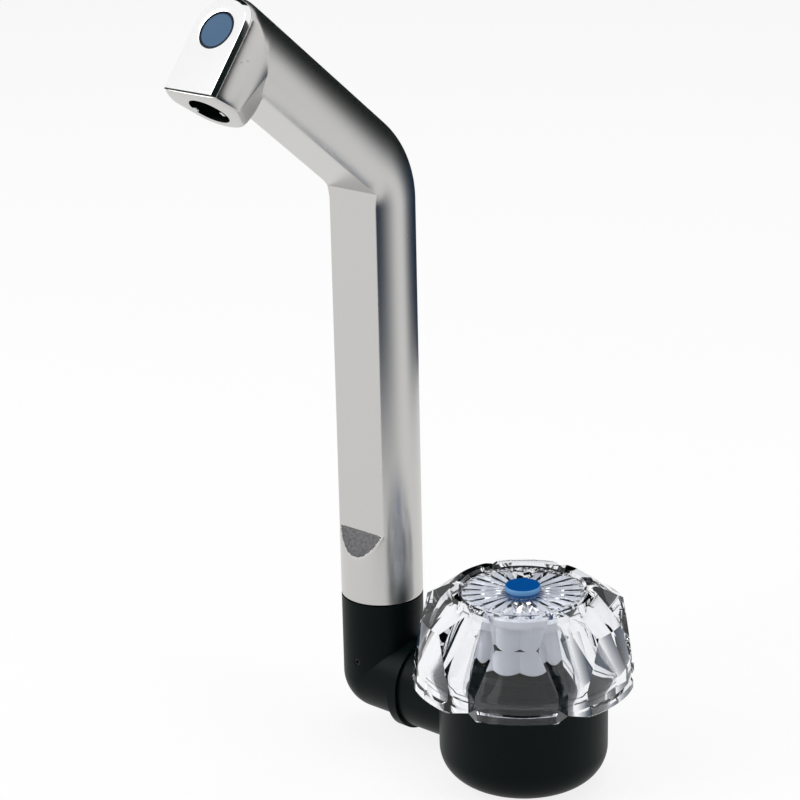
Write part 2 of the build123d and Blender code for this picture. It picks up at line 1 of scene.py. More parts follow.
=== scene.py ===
"""Looks of a folding cold-water tap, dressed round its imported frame.

Shapes are worked out in millimetres in the record's frame and built in metres. The camera's and
the studio's lengths are metres.
"""

import logging
import math
from dataclasses import dataclass
from enum import Enum

import bpy
import numpy as np
from bpy.types import Material, Node, NodeSocket, NodeTree, Object
from mathutils import Matrix, Vector


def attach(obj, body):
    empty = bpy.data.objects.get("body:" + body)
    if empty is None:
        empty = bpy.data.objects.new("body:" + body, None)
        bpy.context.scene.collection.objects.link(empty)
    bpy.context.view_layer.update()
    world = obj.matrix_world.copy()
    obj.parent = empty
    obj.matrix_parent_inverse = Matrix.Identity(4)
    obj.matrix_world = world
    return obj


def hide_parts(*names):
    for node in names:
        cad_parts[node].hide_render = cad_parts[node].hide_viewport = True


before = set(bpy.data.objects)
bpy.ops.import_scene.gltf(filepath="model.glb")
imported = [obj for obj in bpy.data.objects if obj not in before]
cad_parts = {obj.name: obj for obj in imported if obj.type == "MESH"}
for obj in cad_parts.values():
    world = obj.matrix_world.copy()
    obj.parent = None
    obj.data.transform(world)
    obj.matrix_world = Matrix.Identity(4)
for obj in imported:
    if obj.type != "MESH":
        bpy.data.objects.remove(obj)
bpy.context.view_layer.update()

LOG = logging.getLogger("tap")
MM = 0.001
COLUMN_X = -44.0
Source = NodeSocket | float
Pairs = tuple[tuple[float, float], ...]


class Pattern(Enum):
    """Surface patterns that a finish can carry."""

    GRAIN = "blasted_grain"
    MOULDED = "moulded_skin"
    TURNED = "turned_rings"


def feed(tree: NodeTree, value: Source, socket: NodeSocket) -> None:
    """Links a socket to an input, or writes a number into it.

    Args:
        tree: The tree that holds them.
        value: The socket or the number.
        socket: The input.
    """
    if isinstance(value, NodeSocket):
        tree.links.new(value, socket)
    else:
        socket.default_value = value


def worked(tree: NodeTree, kind: str, first: Source, second: Source) -> NodeSocket:
    """Adds a Math node.

    Args:
        tree: The tree to add it to.
        kind: The operation.
        first: Its first value.
        second: Its second value.

    Returns:
        The result.
    """
    node = tree.nodes.new("ShaderNodeMath")
    node.operation = kind
    feed(tree, first, node.inputs[0])
    feed(tree, second, node.inputs[1])
    return node.outputs[0]


def mixed(tree: NodeTree, share: NodeSocket, first: Node, second: Node, end: str) -> None:
    """Mixes two shaders and sends the result to an output node.

    Args:
        tree: The tree that holds them.
        share: How much of the second shader there is.
        first: The first shader.
        second: The second shader.
        end: The output node's name.
    """
    mix = tree.nodes.new("ShaderNodeMixShader")
    for place, source in enumerate((share, first.outputs[0], second.outputs[0])):
        tree.links.new(source, mix.inputs[place])
    tree.links.new(mix.outputs[0], tree.nodes[end].inputs["Surface"])


class NodeGroups:
    """Shader node groups that the finishes share, each built once."""

    fine_detail = {Pattern.GRAIN: 3.0, Pattern.MOULDED: 2.0}
    stain_scale = {Pattern.GRAIN: 60.0, Pattern.MOULDED: 35.0, Pattern.TURNED: 90.0}
    stain_detail = {Pattern.GRAIN: 4.0, Pattern.MOULDED: 2.0, Pattern.TURNED: 3.0}

    def __init__(self) -> None:
        """Starts with no group built."""
        self.built: dict[Pattern, NodeTree] = {}

    def get(self, pattern: Pattern) -> NodeTree:
        """Returns a pattern's group, building it the first time.

        Args:
            pattern: The pattern.

        Returns:
            The node tree.
        """
        if pattern not in self.built:
            self.built[pattern] = self.build(pattern)
        return self.built[pattern]

    @staticmethod
    def texture(tree: NodeTree, kind: str, scale: Source, **values: float) -> Node:
        """Adds a texture on Object coordinates.

        Args:
            tree: The tree to add it to.
            kind: The node's type.
            scale: Its scale per metre.
            values: Its other inputs.

        Returns:
            The node.
        """
        where = tree.nodes.new("ShaderNodeTexCoord")
        node = tree.nodes.new(kind)
        feed(tree, scale, node.inputs["Scale"])
        for key, value in values.items():
            node.inputs[key].default_value = value
        tree.links.new(where.outputs["Object"], node.inputs["Vector"])
        return node

    def build(self, pattern: Pattern) -> NodeTree:
        """Builds a pattern's group.

        A fine texture gives the height. A slow stain m, from 0 to 1, gives the roughness
        r + (m - 0.5) spread and the colour c (1 - tint m). In blasted grain half of the stain is
        the fine texture, which tints the colour alone; turned metal has rings round its Z axis.

        Args:
            pattern: The pattern.

        Returns:
            The node tree.
        """
        tree = bpy.data.node_groups.new(pattern.value, "ShaderNodeTree")
        for way, keys in (("INPUT", ("Color", "Roughness", "Spread", "Grain", "Tint")),
                          ("OUTPUT", ("Color", "Roughness", "Height"))):
            for key in keys:
                kind = "NodeSocketColor" if key == "Color" else "NodeSocketFloat"
                tree.interface.new_socket(key, in_out=way, socket_type=kind)
        given = tree.nodes.new("NodeGroupInput").outputs
        made = tree.nodes.new("NodeGroupOutput").inputs
        if pattern is Pattern.TURNED:
            node = self.texture(tree, "ShaderNodeTexWave", given["Grain"], Distortion=1.0)
            node.bands_direction = "Z"
        else:
            node = self.texture(tree, "ShaderNodeTexNoise", given["Grain"],
                                Detail=self.fine_detail[pattern])
        fine = node.outputs["Fac"]
        stain = tint = self.texture(tree, "ShaderNodeTexNoise", self.stain_scale[pattern],
                                    Detail=self.stain_detail[pattern]).outputs["Fac"]
        if pattern is Pattern.GRAIN:
            stain = worked(tree, "MULTIPLY", worked(tree, "ADD", fine, stain), 0.5)
            tint = fine
        uneven = worked(tree, "MULTIPLY", worked(tree, "SUBTRACT", stain, 0.5), given["Spread"])
        tree.links.new(worked(tree, "ADD", given["Roughness"], uneven), made["Roughness"])
        tree.links.new(fine, made["Height"])
        mix = tree.nodes.new("ShaderNodeMix")
        mix.data_type = "RGBA"
        mix.blend_type = "MULTIPLY"
        mix.inputs["B"].default_value = (0.0, 0.0, 0.0, 1.0)
        tree.links.new(worked(tree, "MULTIPLY", tint, given["Tint"]), mix.inputs["Factor"])
        tree.links.new(given["Color"], mix.inputs["A"])
        tree.links.new(mix.outputs["Result"], made["Color"])
        return tree


GROUPS = NodeGroups()
MATERIALS: dict[str, Material] = {}


@dataclass(frozen=True)
class Finish:
    """One finish: its base values and how strongly its pattern varies them."""

    name: str
    color: tuple[float, float, float]
    roughness: float
    pattern: Pattern
    spread: float
    grain: float
    tint: float
    bump: float
    bump_mm: float
    metallic: float = 0.0
    transmission: float = 0.0
    ior: float = 1.5
    specular: float = 0.5

    def material(self) -> Material:
        """Makes the finish's material, or finds it where it was made before.

        A clear finish lets the rays that look for lamps through, tinted by its colour.

        Returns:
            The material.
        """
        if self.name in MATERIALS:
            return MATERIALS[self.name]
        made = MATERIALS[self.name] = bpy.data.materials.new(self.name)
        made.use_nodes = True
        tree = made.node_tree
        shader = tree.nodes["Principled BSDF"]
        skin = tree.nodes.new("ShaderNodeGroup")
        skin.node_tree = GROUPS.get(self.pattern)
        bump = tree.nodes.new("ShaderNodeBump")
        for node, values in (
                (shader, {"Metallic": self.metallic, "Transmission Weight": self.transmission,
                          "IOR": self.ior, "Specular IOR Level": self.specular}),
                (skin, {"Color": (*self.color, 1.0), "Roughness": self.roughness,
                        "Spread": self.spread, "Grain": self.grain, "Tint": self.tint}),
                (bump, {"Strength": self.bump, "Distance": self.bump_mm * MM})):
            for key, value in values.items():
                node.inputs[key].default_value = value
        tree.links.new(skin.outputs["Height"], bump.inputs["Height"])
        tree.links.new(skin.outputs["Color"], shader.inputs["Base Color"])
        tree.links.new(skin.outputs["Roughness"], shader.inputs["Roughness"])
        tree.links.new(bump.outputs["Normal"], shader.inputs["Normal"])
        if self.transmission == 1.0:
            clear = tree.nodes.new("ShaderNodeBsdfTransparent")
            clear.inputs["Color"].default_value = (*self.color, 1.0)
            path = tree.nodes.new("ShaderNodeLightPath")
            mixed(tree, path.outputs["Is Shadow Ray"], shader, clear, "Material Output")
        return made


SATIN_METAL = Finish("satin_metal", (0.575, 0.568, 0.555), 0.28, Pattern.GRAIN, spread=0.04,
                     grain=2600.0, tint=0.04, bump=0.005, bump_mm=0.01, metallic=1.0)
ETCHED_METAL = Finish("etched_metal", (0.16, 0.16, 0.165), 0.45, Pattern.GRAIN, spread=0.3,
                      grain=1400.0, tint=0.75, bump=0.5, bump_mm=0.05, metallic=1.0)
POLISHED_METAL = Finish("polished_metal", (0.90, 0.90, 0.905), 0.08, Pattern.GRAIN, spread=0.05,
                        grain=900.0, tint=0.03, bump=0.01, bump_mm=0.005, metallic=1.0)
BLACK_PLASTIC = Finish("black_plastic", (0.0018, 0.0050, 0.0048), 0.40, Pattern.MOULDED,
                       spread=0.10, grain=1500.0, tint=0.2, bump=0.05, bump_mm=0.02,
                       specular=0.07)
BLACK_STEEL = Finish("black_steel", (0.012, 0.014, 0.018), 0.35, Pattern.GRAIN, spread=0.2,
                     grain=700.0, tint=0.15, bump=0.05, bump_mm=0.01, specular=0.2)
CLEAR_ACRYLIC = Finish("clear_acrylic", (0.925, 0.94, 0.965), 0.012, Pattern.MOULDED,
                       spread=0.01, grain=300.0, tint=0.01, bump=0.02, bump_mm=0.01,
                       transmission=1.0, ior=1.49)
FROSTED_PLASTIC = Finish("frosted_plastic", (0.74, 0.745, 0.785), 0.32, Pattern.MOULDED,
                         spread=0.05, grain=900.0, tint=0.05, bump=0.03, bump_mm=0.02,
                         transmission=0.05, ior=1.49)
BLUE_CAP = Finish("blue_cap_gloss", (0.0, 0.072, 0.30), 0.20, Pattern.MOULDED, spread=0.05,
                  grain=900.0, tint=0.1, bump=0.01, bump_mm=0.01, specular=0.15)
# Lighter copy of the cap's blue: a painted highlight along the cap's rim.
CAP_RIM_HIGHLIGHT = Finish("cap_rim_highlight", (0.13, 0.33, 0.62), 0.25, Pattern.MOULDED, spread=0.05,
                 grain=900.0, tint=0.1, bump=0.01, bump_mm=0.01, specular=0.3)
BLUE_DOT = Finish("blue_dot_satin", (0.047, 0.118, 0.22), 0.38, Pattern.MOULDED, spread=0.08,
                  grain=900.0, tint=0.25, bump=0.02, bump_mm=0.01, specular=0.2)
# Dark navy copy of the dot's blue: painted shade of the gap round the blue dot.
DOT_GAP_SHADE = Finish("dot_gap_shade", (0.0015, 0.006, 0.016), 0.40, Pattern.MOULDED, spread=0.08,
                  grain=900.0, tint=0.1, bump=0.02, bump_mm=0.01, specular=0.1)
# Pale colour for the pads on the lug tips: painted glints.
LUG_GLINT_PAINT = Finish("lug_glint_paint", (0.72, 0.74, 0.73), 0.35, Pattern.MOULDED, spread=0.05,
                      grain=900.0, tint=0.1, bump=0.02, bump_mm=0.01)
BRASS = Finish("turned_brass", (0.62, 0.42, 0.17), 0.28, Pattern.TURNED, spread=0.2,
               grain=900.0, tint=0.2, bump=0.06, bump_mm=0.02, metallic=1.0)
ZINC_STEEL = Finish("zinc_steel", (0.60, 0.60, 0.61), 0.30, Pattern.GRAIN, spread=0.2,
                    grain=700.0, tint=0.15, bump=0.05, bump_mm=0.01, metallic=1.0)
SPRING_STEEL = Finish("spring_steel", (0.42, 0.42, 0.44), 0.30, Pattern.GRAIN, spread=0.15,
                      grain=900.0, tint=0.1, bump=0.05, bump_mm=0.01, metallic=1.0)
SEAL_RUBBER = Finish("seal_rubber", (0.02, 0.02, 0.02), 0.6, Pattern.MOULDED, spread=0.1,
                     grain=2200.0, tint=0.2, bump=0.2, bump_mm=0.03)

FINISH_NODES: dict[Finish, tuple[str, ...]] = {
    BLACK_PLASTIC: ("base_shell", "base_cover", "elbow", "outlet_insert"),
    BLACK_STEEL: ("lock_screw",),
    SEAL_RUBBER: ("deck_gasket", "bonnet_seal", "valve_washer", "spindle_seals", "fold_seals",
                  "spout_seals"),
    BRASS: ("valve_body", "inlet_stem", "valve_seat", "bonnet", "washer_screw", "jumper",
            "spindle", "fold_spigot", "spout_spigot"),
    ZINC_STEEL: ("knob_screw",),
    SPRING_STEEL: ("snap_ring",),
}


class Shell:
    """A closed mesh put together from grids of points, in millimetres."""

    def __init__(self) -> None:
        """Starts with no points and no faces."""
        self.points: list[np.ndarray] = []
        self.quads: list[np.ndarray] = []
        self.fans: list[np.ndarray] = [np.zeros((0, 3), int)]
        self.count = 0

    def grid(self, points: np.ndarray, wrap_rows: bool = False) -> np.ndarray:
        """Adds a grid that closes on itself along its columns.

        Args:
            points: Rows by columns by 3.
            wrap_rows: Whether the last row joins the first.

        Returns:
            The point numbers, rows by columns.
        """
        rows, columns = points.shape[:2]
        index = self.count + np.arange(rows * columns).reshape(rows, columns)
        self.points.append(points.reshape(-1, 3))
        self.count += rows * columns
        low, high = (index, np.roll(index, -1, 0)) if wrap_rows else (index[:-1], index[1:])
        quads = np.stack([low, np.roll(low, -1, 1), np.roll(high, -1, 1), high], -1)
        self.quads.append(quads.reshape(-1, 4))
        return index

    def cap(self, ring: np.ndarray, centre: np.ndarray, last: bool) -> None:
        """Closes a grid's end row with triangles round a centre.

        Args:
            ring: The row's point numbers.
            centre: The centre.
            last: Whether it is the grid's last row.
        """
        self.points.append(np.array([centre], float))
        middle = np.full_like(ring, self.count)
        self.count += 1
        after = np.roll(ring, -1)
        self.fans.append(np.stack([ring, after, middle] if last else [after, ring, middle], -1))

    def build(self, name: str, smooth_deg: float = 30.0,
              normals: np.ndarray | None = None) -> Object:
        """Makes the object, its faces turned outwards.

        The faces are turned over where the volume, the sum of a . (b x c) over their triangles,
        comes out below 0.

        Args:
            name: The piece's name.
            smooth_deg: Faces that meet at more than this keep a sharp edge.
            normals: Exact outward normals, one for each point, or None.

        Returns:
            The object, at the origin, in metres.
        """
        points = np.concatenate(self.points) * MM
        quads, fans = np.concatenate(self.quads), np.concatenate(self.fans)
        halves = np.concatenate([quads[:, :3], quads[:, [0, 2, 3]], fans])
        a, b, c = (points[halves[:, k]] for k in range(3))
        if np.einsum("ij,ij->", a, np.cross(b, c)) < 0:
            quads, fans = quads[:, ::-1], fans[:, ::-1]
        mesh = bpy.data.meshes.new(name)
        mesh.vertices.add(len(points))
        mesh.vertices.foreach_set("co", points.ravel())
        loops = np.concatenate([quads.ravel(), fans.ravel()])
        mesh.loops.add(len(loops))
        mesh.loops.foreach_set("vertex_index", loops)
        sizes = np.concatenate([np.full(len(quads), 4), np.full(len(fans), 3)])
        mesh.polygons.add(len(sizes))
        mesh.polygons.foreach_set("loop_start", np.cumsum(sizes) - sizes)
        mesh.polygons.foreach_set("use_smooth", np.ones(len(sizes), bool))
        mesh.update(calc_edges=True)
        mesh.validate()
        if normals is None:
            mesh.set_sharp_from_angle(angle=math.radians(smooth_deg))
        else:
            mesh.normals_split_custom_set_from_vertices(normals.tolist())
        return linked(name, mesh)


def linked(name: str, data: bpy.types.ID) -> Object:
    """Makes an object and links it to the scene.

    Args:
        name: Its name.
        data: Its mesh, lamp or camera.

    Returns:
        The object.
    """
    made = bpy.data.objects.new(name, data)
    bpy.context.scene.collection.objects.link(made)
    return made


def face_rows(piece: Object, key: str) -> np.ndarray:
    """Reads a vector of each face of a piece.

    Args:
        piece: The piece.
        key: Either "center", in metres, or "normal".

    Returns:
        Faces by 3.
    """
    values = np.empty(len(piece.data.polygons) * 3)
    piece.data.polygons.foreach_get(key, values)
    return values.reshape(-1, 3)


def finished(piece: Object, body: str, nodes: tuple[str, ...], slot: str, *finishes: Finish,
             numbers: np.ndarray | None = None) -> None:
    """Dresses a piece, ties it to its body and reports it.

    Args:
        piece: The piece.
        body: The body that it moves with.
        nodes: The CAD nodes that it stands for.
        slot: The record's material slot; not used.
        finishes: Its finishes.
        numbers: Each face's place in the finishes, or None where the first is on all of them.
    """
    if numbers is not None:
        piece.data.polygons.foreach_set("material_index", numbers.astype(np.int32))
    for finish in finishes:
        piece.data.materials.append(finish.material())
    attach(piece, body)
    if nodes:
        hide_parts(*nodes)
    LOG.info("made %s on %s: %d faces", piece.name, body, len(piece.data.polygons))


def bevelled(piece: Object, width_mm: float) -> None:
    """Rounds a piece's edges of over 25 degrees and weights its normals by face area.

    Args:
        piece: The piece.
        width_mm: The rounding's width.
    """
    bevel = piece.modifiers.new("edge_rounding", "BEVEL")
    bevel.width = width_mm * MM
    bevel.segments = 2
    bevel.limit_method = "ANGLE"
    bevel.angle_limit = math.radians(25.0)
    piece.modifiers.new("face_normals", "WEIGHTED_NORMAL")


def turned_rows(profile: Pairs, columns: int) -> np.ndarray:
    """Rows of a turned shape: (r cos t, r sin t, z) for each profile point (r, z).

    Args:
        profile: Points (radius, height).
        columns: Points round the axis.

    Returns:
        Rows by columns by 3.
    """
    angle = np.arange(columns) * 2 * np.pi / columns
    r, z = np.array(profile, float).T[:, :, None]
    return np.stack([r * np.cos(angle), r * np.sin(angle), z + 0 * angle], -1)


@dataclass
class Spout:
    """Bent metal spout: its skin, polished nose, blue dot and pale pads painted as glints on the
    outlet's lugs.
    """

    column_x: float = COLUMN_X
    radius: float = 10.0
    flat: float = 7.071
    foot_z: float = 36.15
    foot_steps: tuple[float, ...] = (0.0, 0.06, 0.18, 0.35, 0.6, 1.0)
    foot_rounding: Pairs = ((0.42, 0.85), (0.24, 0.6), (0.11, 0.38), (0.04, 0.2), (0.005, 0.06))
    coarse_z: float = 38.0
    fine_z: float = 47.0
    plain_z: float = 56.0
    facet_z: float = 54.2
    facet_slope_deg: float = 66.0
    facet_steps: tuple[float, ...] = (-0.1, -0.03, 0.0, 0.05, 0.2, 0.5)
    facet_height: float = 8.0
    facet_band: float = 0.06
    facet_gap: float = 0.01
    bend_z: float = 134.7
    bend_radius: float = 15.0
    bend_near_deg: tuple[float, ...] = (0.15, 0.5, 1.0)
    arm_deg: float = 39.0
    arm_length: float = 48.4
    nozzle_drop: float = 14.6
    heel_radius: float = 9.0
    heel_flare: float = 2.0
    heel_depth: float = 4.0
    nozzle_lean_deg: float = 14.0
    nose: float = 6.171
    outlet_setback: float = 1.2
    outlet_radius: float = 4.75
    outlet_depth: float = 6.0
    outlet_band: float = 0.04
    outlet_gap: float = 0.05
    mouth_heights: tuple[float, ...] = (1.2, 0.95, 0.75, 0.58, 0.44, 0.33, 0.25)
    mouth_steps: tuple[tuple[float, float, float, float], ...] = (
        (0.06, 0.0, 0.17, -0.17), (0.16, 0.0, 0.10, -0.09), (0.45, 0.0, 0.03, -0.03),
        (0.9, 0.0, 0.0, 0.0), (1.0, 0.16, 0.0, 0.1), (1.0, 0.05, 0.03, 0.5),
        (1.0, 0.0, 0.16, 0.9), (1.0, 0.0, 1.0, 1.0))
    fan_reach: float = 11.0
    fan_share: float = 0.98
    fan_fine_deg: tuple[float, float] = (38.5, 46.5)
    longest_ray: float = 15.5
    halvings: int = 34
    probe: float = 0.01
    column_step_deg: float = 2.0
    flat_spans_deg: Pairs = ((45.0, 99.0), (263.0, 317.0))
    edges_deg: tuple[float, ...] = (45.0, 128.1, 231.9, 315.0)
    edge_reach_deg: float = 1.6
    edge_blend: float = 0.26
    crease_blend: float = 0.10
    inner_blend: float = 0.10
    mouth_blend: float = 0.8
    mitre_fade: float = 1.5
    rear_facet: tuple[float, float, float, float] = (0.880, 0.463, 0.108, 10.18)
    collar_radius: float = 9.2
    collar_slope: float = 0.75
    plate_thickness: float = 0.9
    plate_half: float = 7.95
    plate_crown: float = 9.15
    plate_chamfer: float = 0.86
    plate_shade_facing: float = 0.7
    corner_power: float = 10.0
    foot_inset: float = 0.03
    foot_rise: float = 0.45
    dot_rise: float = 0.8
    dot_radius: float = 4.5
    dot_rim: float = 0.5
    dot_hole: float = 4.57
    dot_face: float = 0.79
    dot_columns: int = 72
    dot_shade_bands: int = 6
    lug_size: tuple[float, float, float] = (0.75, 1.5, 0.35)
    lug_offset: float = 4.05
    lug_rise: float = 0.12
    lug_rounding: float = 0.12

    def __post_init__(self) -> None:
        """Works out the arm's directions, in the (y, z) plane, and the head's centre."""
        a = math.radians(self.arm_deg)
        self.along = np.array([-math.cos(a), math.sin(a)])
        self.above = np.array([math.sin(a), math.cos(a)])
        self.pivot = np.array([-self.bend_radius, self.bend_z])
        self.turn = math.pi / 2 - a
        spoke = np.array([math.cos(self.turn), math.sin(self.turn)])
        self.bend_end = self.pivot + self.bend_radius * spoke
        self.head = self.bend_end + self.arm_length * self.along
        self.fan_pivot = self.head - self.fan_reach * (self.along + self.above)

    def at_head(self, points: np.ndarray) -> np.ndarray:
        """Turns the head's own coordinates into the column's: head + up above + forward along.

        Args:
            points: Points, the last axis being (lateral, up, forward).

        Returns:
            The points, the last axis being (lateral, y, z).
        """
        lateral, up, forward = points[..., :1], points[..., 1:2], points[..., 2:]
        return np.concatenate([lateral, self.head + up * self.above + forward * self.along], -1)

    def placed(self, p: np.ndarray) -> np.ndarray:
        """Moves lateral coordinates to the column's place in the model's frame."""
        return p + np.array([self.column_x, 0.0, 0.0])

    @staticmethod
    def soft_max(a: np.ndarray, b: np.ndarray, blend: float | np.ndarray) -> np.ndarray:
        """Greater of two fields, rounded: (a + b + sqrt((a - b)^2 + blend^2)) / 2."""
        return 0.5 * (a + b + np.sqrt((a - b) ** 2 + blend ** 2))

    def soft_min(self, a: np.ndarray, b: np.ndarray, blend: float | np.ndarray) -> np.ndarray:
        """Lesser of two fields, rounded where they cross."""
        return -self.soft_max(-a, -b, blend)

    def facet(self, y: np.ndarray, z: np.ndarray) -> np.ndarray:
        """Distance to the half-moon facet's plane: (z - top - slope (y + flat)) / |(1, slope)|."""
        slope = math.tan(math.radians(self.facet_slope_deg))
        return (z - self.facet_z - slope * (y + self.flat)) / math.hypot(1.0, slope)

    def bar(self, p: np.ndarray, n: np.ndarray, s: np.ndarray) -> np.ndarray:
        """Field of the bent bar.

        It is the distance to the centre line less the radius, mitred by the nozzle's round in front
        of the head's centre and planed by the column's flat, the arm's flat and the facet.

        Args:
            p: Points, the last axis being (lateral, y, z).
            n: Their distances in front of the head's centre.
            s: Their depths below it, square to the arm.

        Returns:
            The field at each point.
        """
        u, y, z = p[..., 0], p[..., 1], p[..., 2]
        beta = np.arctan2(z - self.bend_z, y + self.bend_radius)
        bend = np.hypot(y + self.bend_radius, z - self.bend_z) - self.bend_radius
        side = np.where(beta <= 0, y, np.where(beta >= self.turn, -s, bend))
        ahead, raised = np.maximum(n, 0.0), np.maximum(-s, 0.0)
        mitre = self.edge_blend * np.clip(np.minimum(ahead, raised) / self.mitre_fade, 0, 1)
        rounds = np.hypot(u, side) - self.radius, np.hypot(u, ahead) - self.radius
        kept = np.minimum(np.minimum(-(y + self.flat), s - self.flat), self.facet(y, z))
        return self.soft_max(self.soft_max(*rounds, mitre), kept, self.edge_blend)

    def nozzle(self, u: np.ndarray, n: np.ndarray, s: np.ndarray) -> np.ndarray:
        """Field of the nozzle: a round with two rear facets, a leaning heel and a rounded mouth.

        Args:
            u: Lateral distances from the middle.
            n: Distances in front of the head's centre.
            s: Depths below it, square to the arm.

        Returns:
            The field at each point.
        """
        lean = math.radians(self.nozzle_lean_deg)
        heel = self.heel_radius + self.heel_flare * np.clip(1 + n / self.heel_depth, 0, 1)
        heel = np.hypot(u, n) - heel - math.tan(lean) * (self.nozzle_drop - s)
        across, back, down, offset = self.rear_facet
        rear = across * np.sqrt(u ** 2 + self.edge_blend ** 2) - back * n + down * s - offset
        body = self.soft_max(np.hypot(u, n) - self.radius, rear, self.crease_blend)
        body = self.soft_max(body, heel * math.cos(lean), self.edge_blend)
        body = self.soft_max(body, s - self.nozzle_drop, self.mouth_blend)
        return np.maximum(body, -s)

    def field(self, p: np.ndarray) -> np.ndarray:
        """Distance-like field of the metal's outer form: below 0 inside it, above 0 outside.

        It is the lesser of the bar and the nozzle, chamfered by a cone round the nose and cut flat
        at the nose.

        Args:
            p: Points, the last axis being (lateral, y, z).

        Returns:
            The field at each point.
        """
        away = p[..., 1:] - self.head
        u, n, s = p[..., 0], away @ self.along, -(away @ self.above)
        inner = self.inner_blend * np.clip(-n / self.mitre_fade, 0, 1)
        body = self.soft_min(self.bar(p, n, s), self.nozzle(u, n, s), inner)
        cone = np.hypot(u, np.maximum(-s, 0.0)) + self.collar_slope * (n - self.nose)
        collar = (cone - self.collar_radius) / math.hypot(1, self.collar_slope)
        body = self.soft_max(body, collar, self.edge_blend)
        return self.soft_max(body, n - self.nose, self.edge_blend)

    def gradient(self, p: np.ndarray) -> np.ndarray:
        """Unit normals: the field's slope by central differences.

        Args:
            p: Points on the surface.

        Returns:
            The normals.
        """
        step = self.probe * np.eye(3)
        slope = np.stack([self.field(p + d) - self.field(p - d) for d in step], -1)
        return slope / np.linalg.norm(slope, axis=-1, keepdims=True)

    def stations(self) -> tuple[np.ndarray, np.ndarray, np.ndarray]:
        """Rows of the skin: origins, inner directions and reach limits.

        Straight rows go up the column, round the bend and along the arm; then the rows fan about a
        pivot in the corner under the head, from square to the arm to square to the nozzle; the last
        ones go down the nozzle.

        Returns:
            Origins (y, z), inner directions (y, z) and, for each row, how far inner rays may go.
        """
        column = np.concatenate([self.foot_z + np.array(self.foot_steps),
                                 np.arange(self.coarse_z, self.fine_z - 0.1, 1.5),
                                 np.arange(self.fine_z, self.facet_z - 0.15, 0.2),
                                 self.facet_z + np.array(self.facet_steps),
                                 np.linspace(self.plain_z, self.bend_z, 36)])
        half = self.turn / 2
        near = np.radians(self.bend_near_deg)
        beta = np.unique(np.concatenate([
            np.linspace(0, half, 18)[1:-1], half - near[::-1], [half], half + near,
            np.linspace(half, self.turn, 18)[1:]]))
        spoke = np.stack([np.cos(beta), np.sin(beta)], -1)
        t = np.linspace(0, self.arm_length - self.fan_reach, 20)[1:, None]
        psi = np.concatenate([np.linspace(0, 90, 100)[1:], np.linspace(*self.fan_fine_deg, 41)])
        psi = np.radians(np.unique(np.round(psi, 3)))[:, None]
        spread = np.cos(psi) * self.above + np.sin(psi) * self.along
        reach = self.fan_reach / np.maximum(np.cos(psi), np.sin(psi))
        heights = np.array(self.mouth_heights)
        depth = np.concatenate([np.linspace(self.fan_reach, self.nozzle_drop - 1.5, 8)[1:],
                                self.nozzle_drop - heights])[:, None]
        parts = (
            (np.stack([0 * column, column], -1), np.stack([0 * column - 1, 0 * column], -1)),
            (self.pivot + self.bend_radius * spoke, -spoke),
            (self.bend_end + t * self.along, 0 * t - self.above),
            (self.fan_pivot + reach * spread, -spread),
            (self.head - depth * self.above, 0 * depth - self.along))
        limits = (np.full(len(column) + len(beta) + len(t), self.longest_ray),
                  self.fan_share * reach[:, 0], np.full(len(depth), self.longest_ray))
        origins, inner = (np.concatenate(part) for part in zip(*parts))
        return origins, inner, np.concatenate(limits)

    def columns(self) -> np.ndarray:
        """Angles round the skin, closer together at the flats' and the nose's straight edges.

        Returns:
            The angles, in radians.
        """
        fine = np.linspace(-self.edge_reach_deg, self.edge_reach_deg, 9)
        spans = ((0.0, 360.0), *self.flat_spans_deg)
        angles = [np.arange(first, last, self.column_step_deg) for first, last in spans]
        angles += [edge + fine for edge in self.edges_deg]
        return np.radians(np.unique(np.round(np.concatenate(angles), 3)))

    def skin_rows(self) -> np.ndarray:
        """Surface points: on each ray the field's zero, found by halving the interval.

        Returns:
            Rows by columns by (lateral, y, z).
        """
        origins, inner, limit = self.stations()
        phi = self.columns()
        c, s = np.cos(phi), np.sin(phi)
        ray = np.concatenate([np.broadcast_to(s[None, :, None], (len(origins), len(phi), 1)),
                              c[None, :, None] * inner[:, None, :]], -1)
        start = np.concatenate([np.zeros((len(origins), 1)), origins], -1)[:, None, :]
        far = np.minimum(self.longest_ray, limit[:, None] / np.maximum(c[None, :], 1e-3))
        near = np.zeros_like(far)
        for _ in range(self.halvings):
            middle = 0.5 * (near + far)
            inside = self.field(start + middle[..., None] * ray) < 0
            near, far = np.where(inside, middle, near), np.where(inside, far, middle)
        return start + (0.5 * (near + far))[..., None] * ray

    def mouth(self, rim: np.ndarray) -> tuple[np.ndarray, np.ndarray]:
        """Rows over the nozzle's flat end, round the outlet's edge and up the bore.

        A step holds the share of the way from the rim to the outlet's circle, how much wider that
        circle is, how high above the nozzle's end the row is, and how far its normal has turned
        from straight down to the outlet's axis.

        Args:
            rim: The skin's last row.

        Returns:
            The rows and their normals, each rows by columns by (lateral, y, z).
        """
        steps = np.array([*self.mouth_steps, (1.0, 0.0, self.outlet_depth, 1.0)])
        share, widen, rise, turned = steps.T[:, :, None]
        x = rim[:, 0]
        f = (rim[:, 1:] - self.head) @ self.along + self.outlet_setback
        reach = np.hypot(x, f)
        r = reach * (1 - share) + (self.outlet_radius + widen) * share
        x, f = x / reach, f / reach
        up = rise - self.nozzle_drop + 0 * r
        points = np.stack([r * x, up, r * f - self.outlet_setback], -1)
        normals = np.stack([-turned * x, turned - 1 + 0 * r, -turned * f], -1)
        return self.at_head(points), self.at_head(normals) - self.at_head(np.zeros(3))

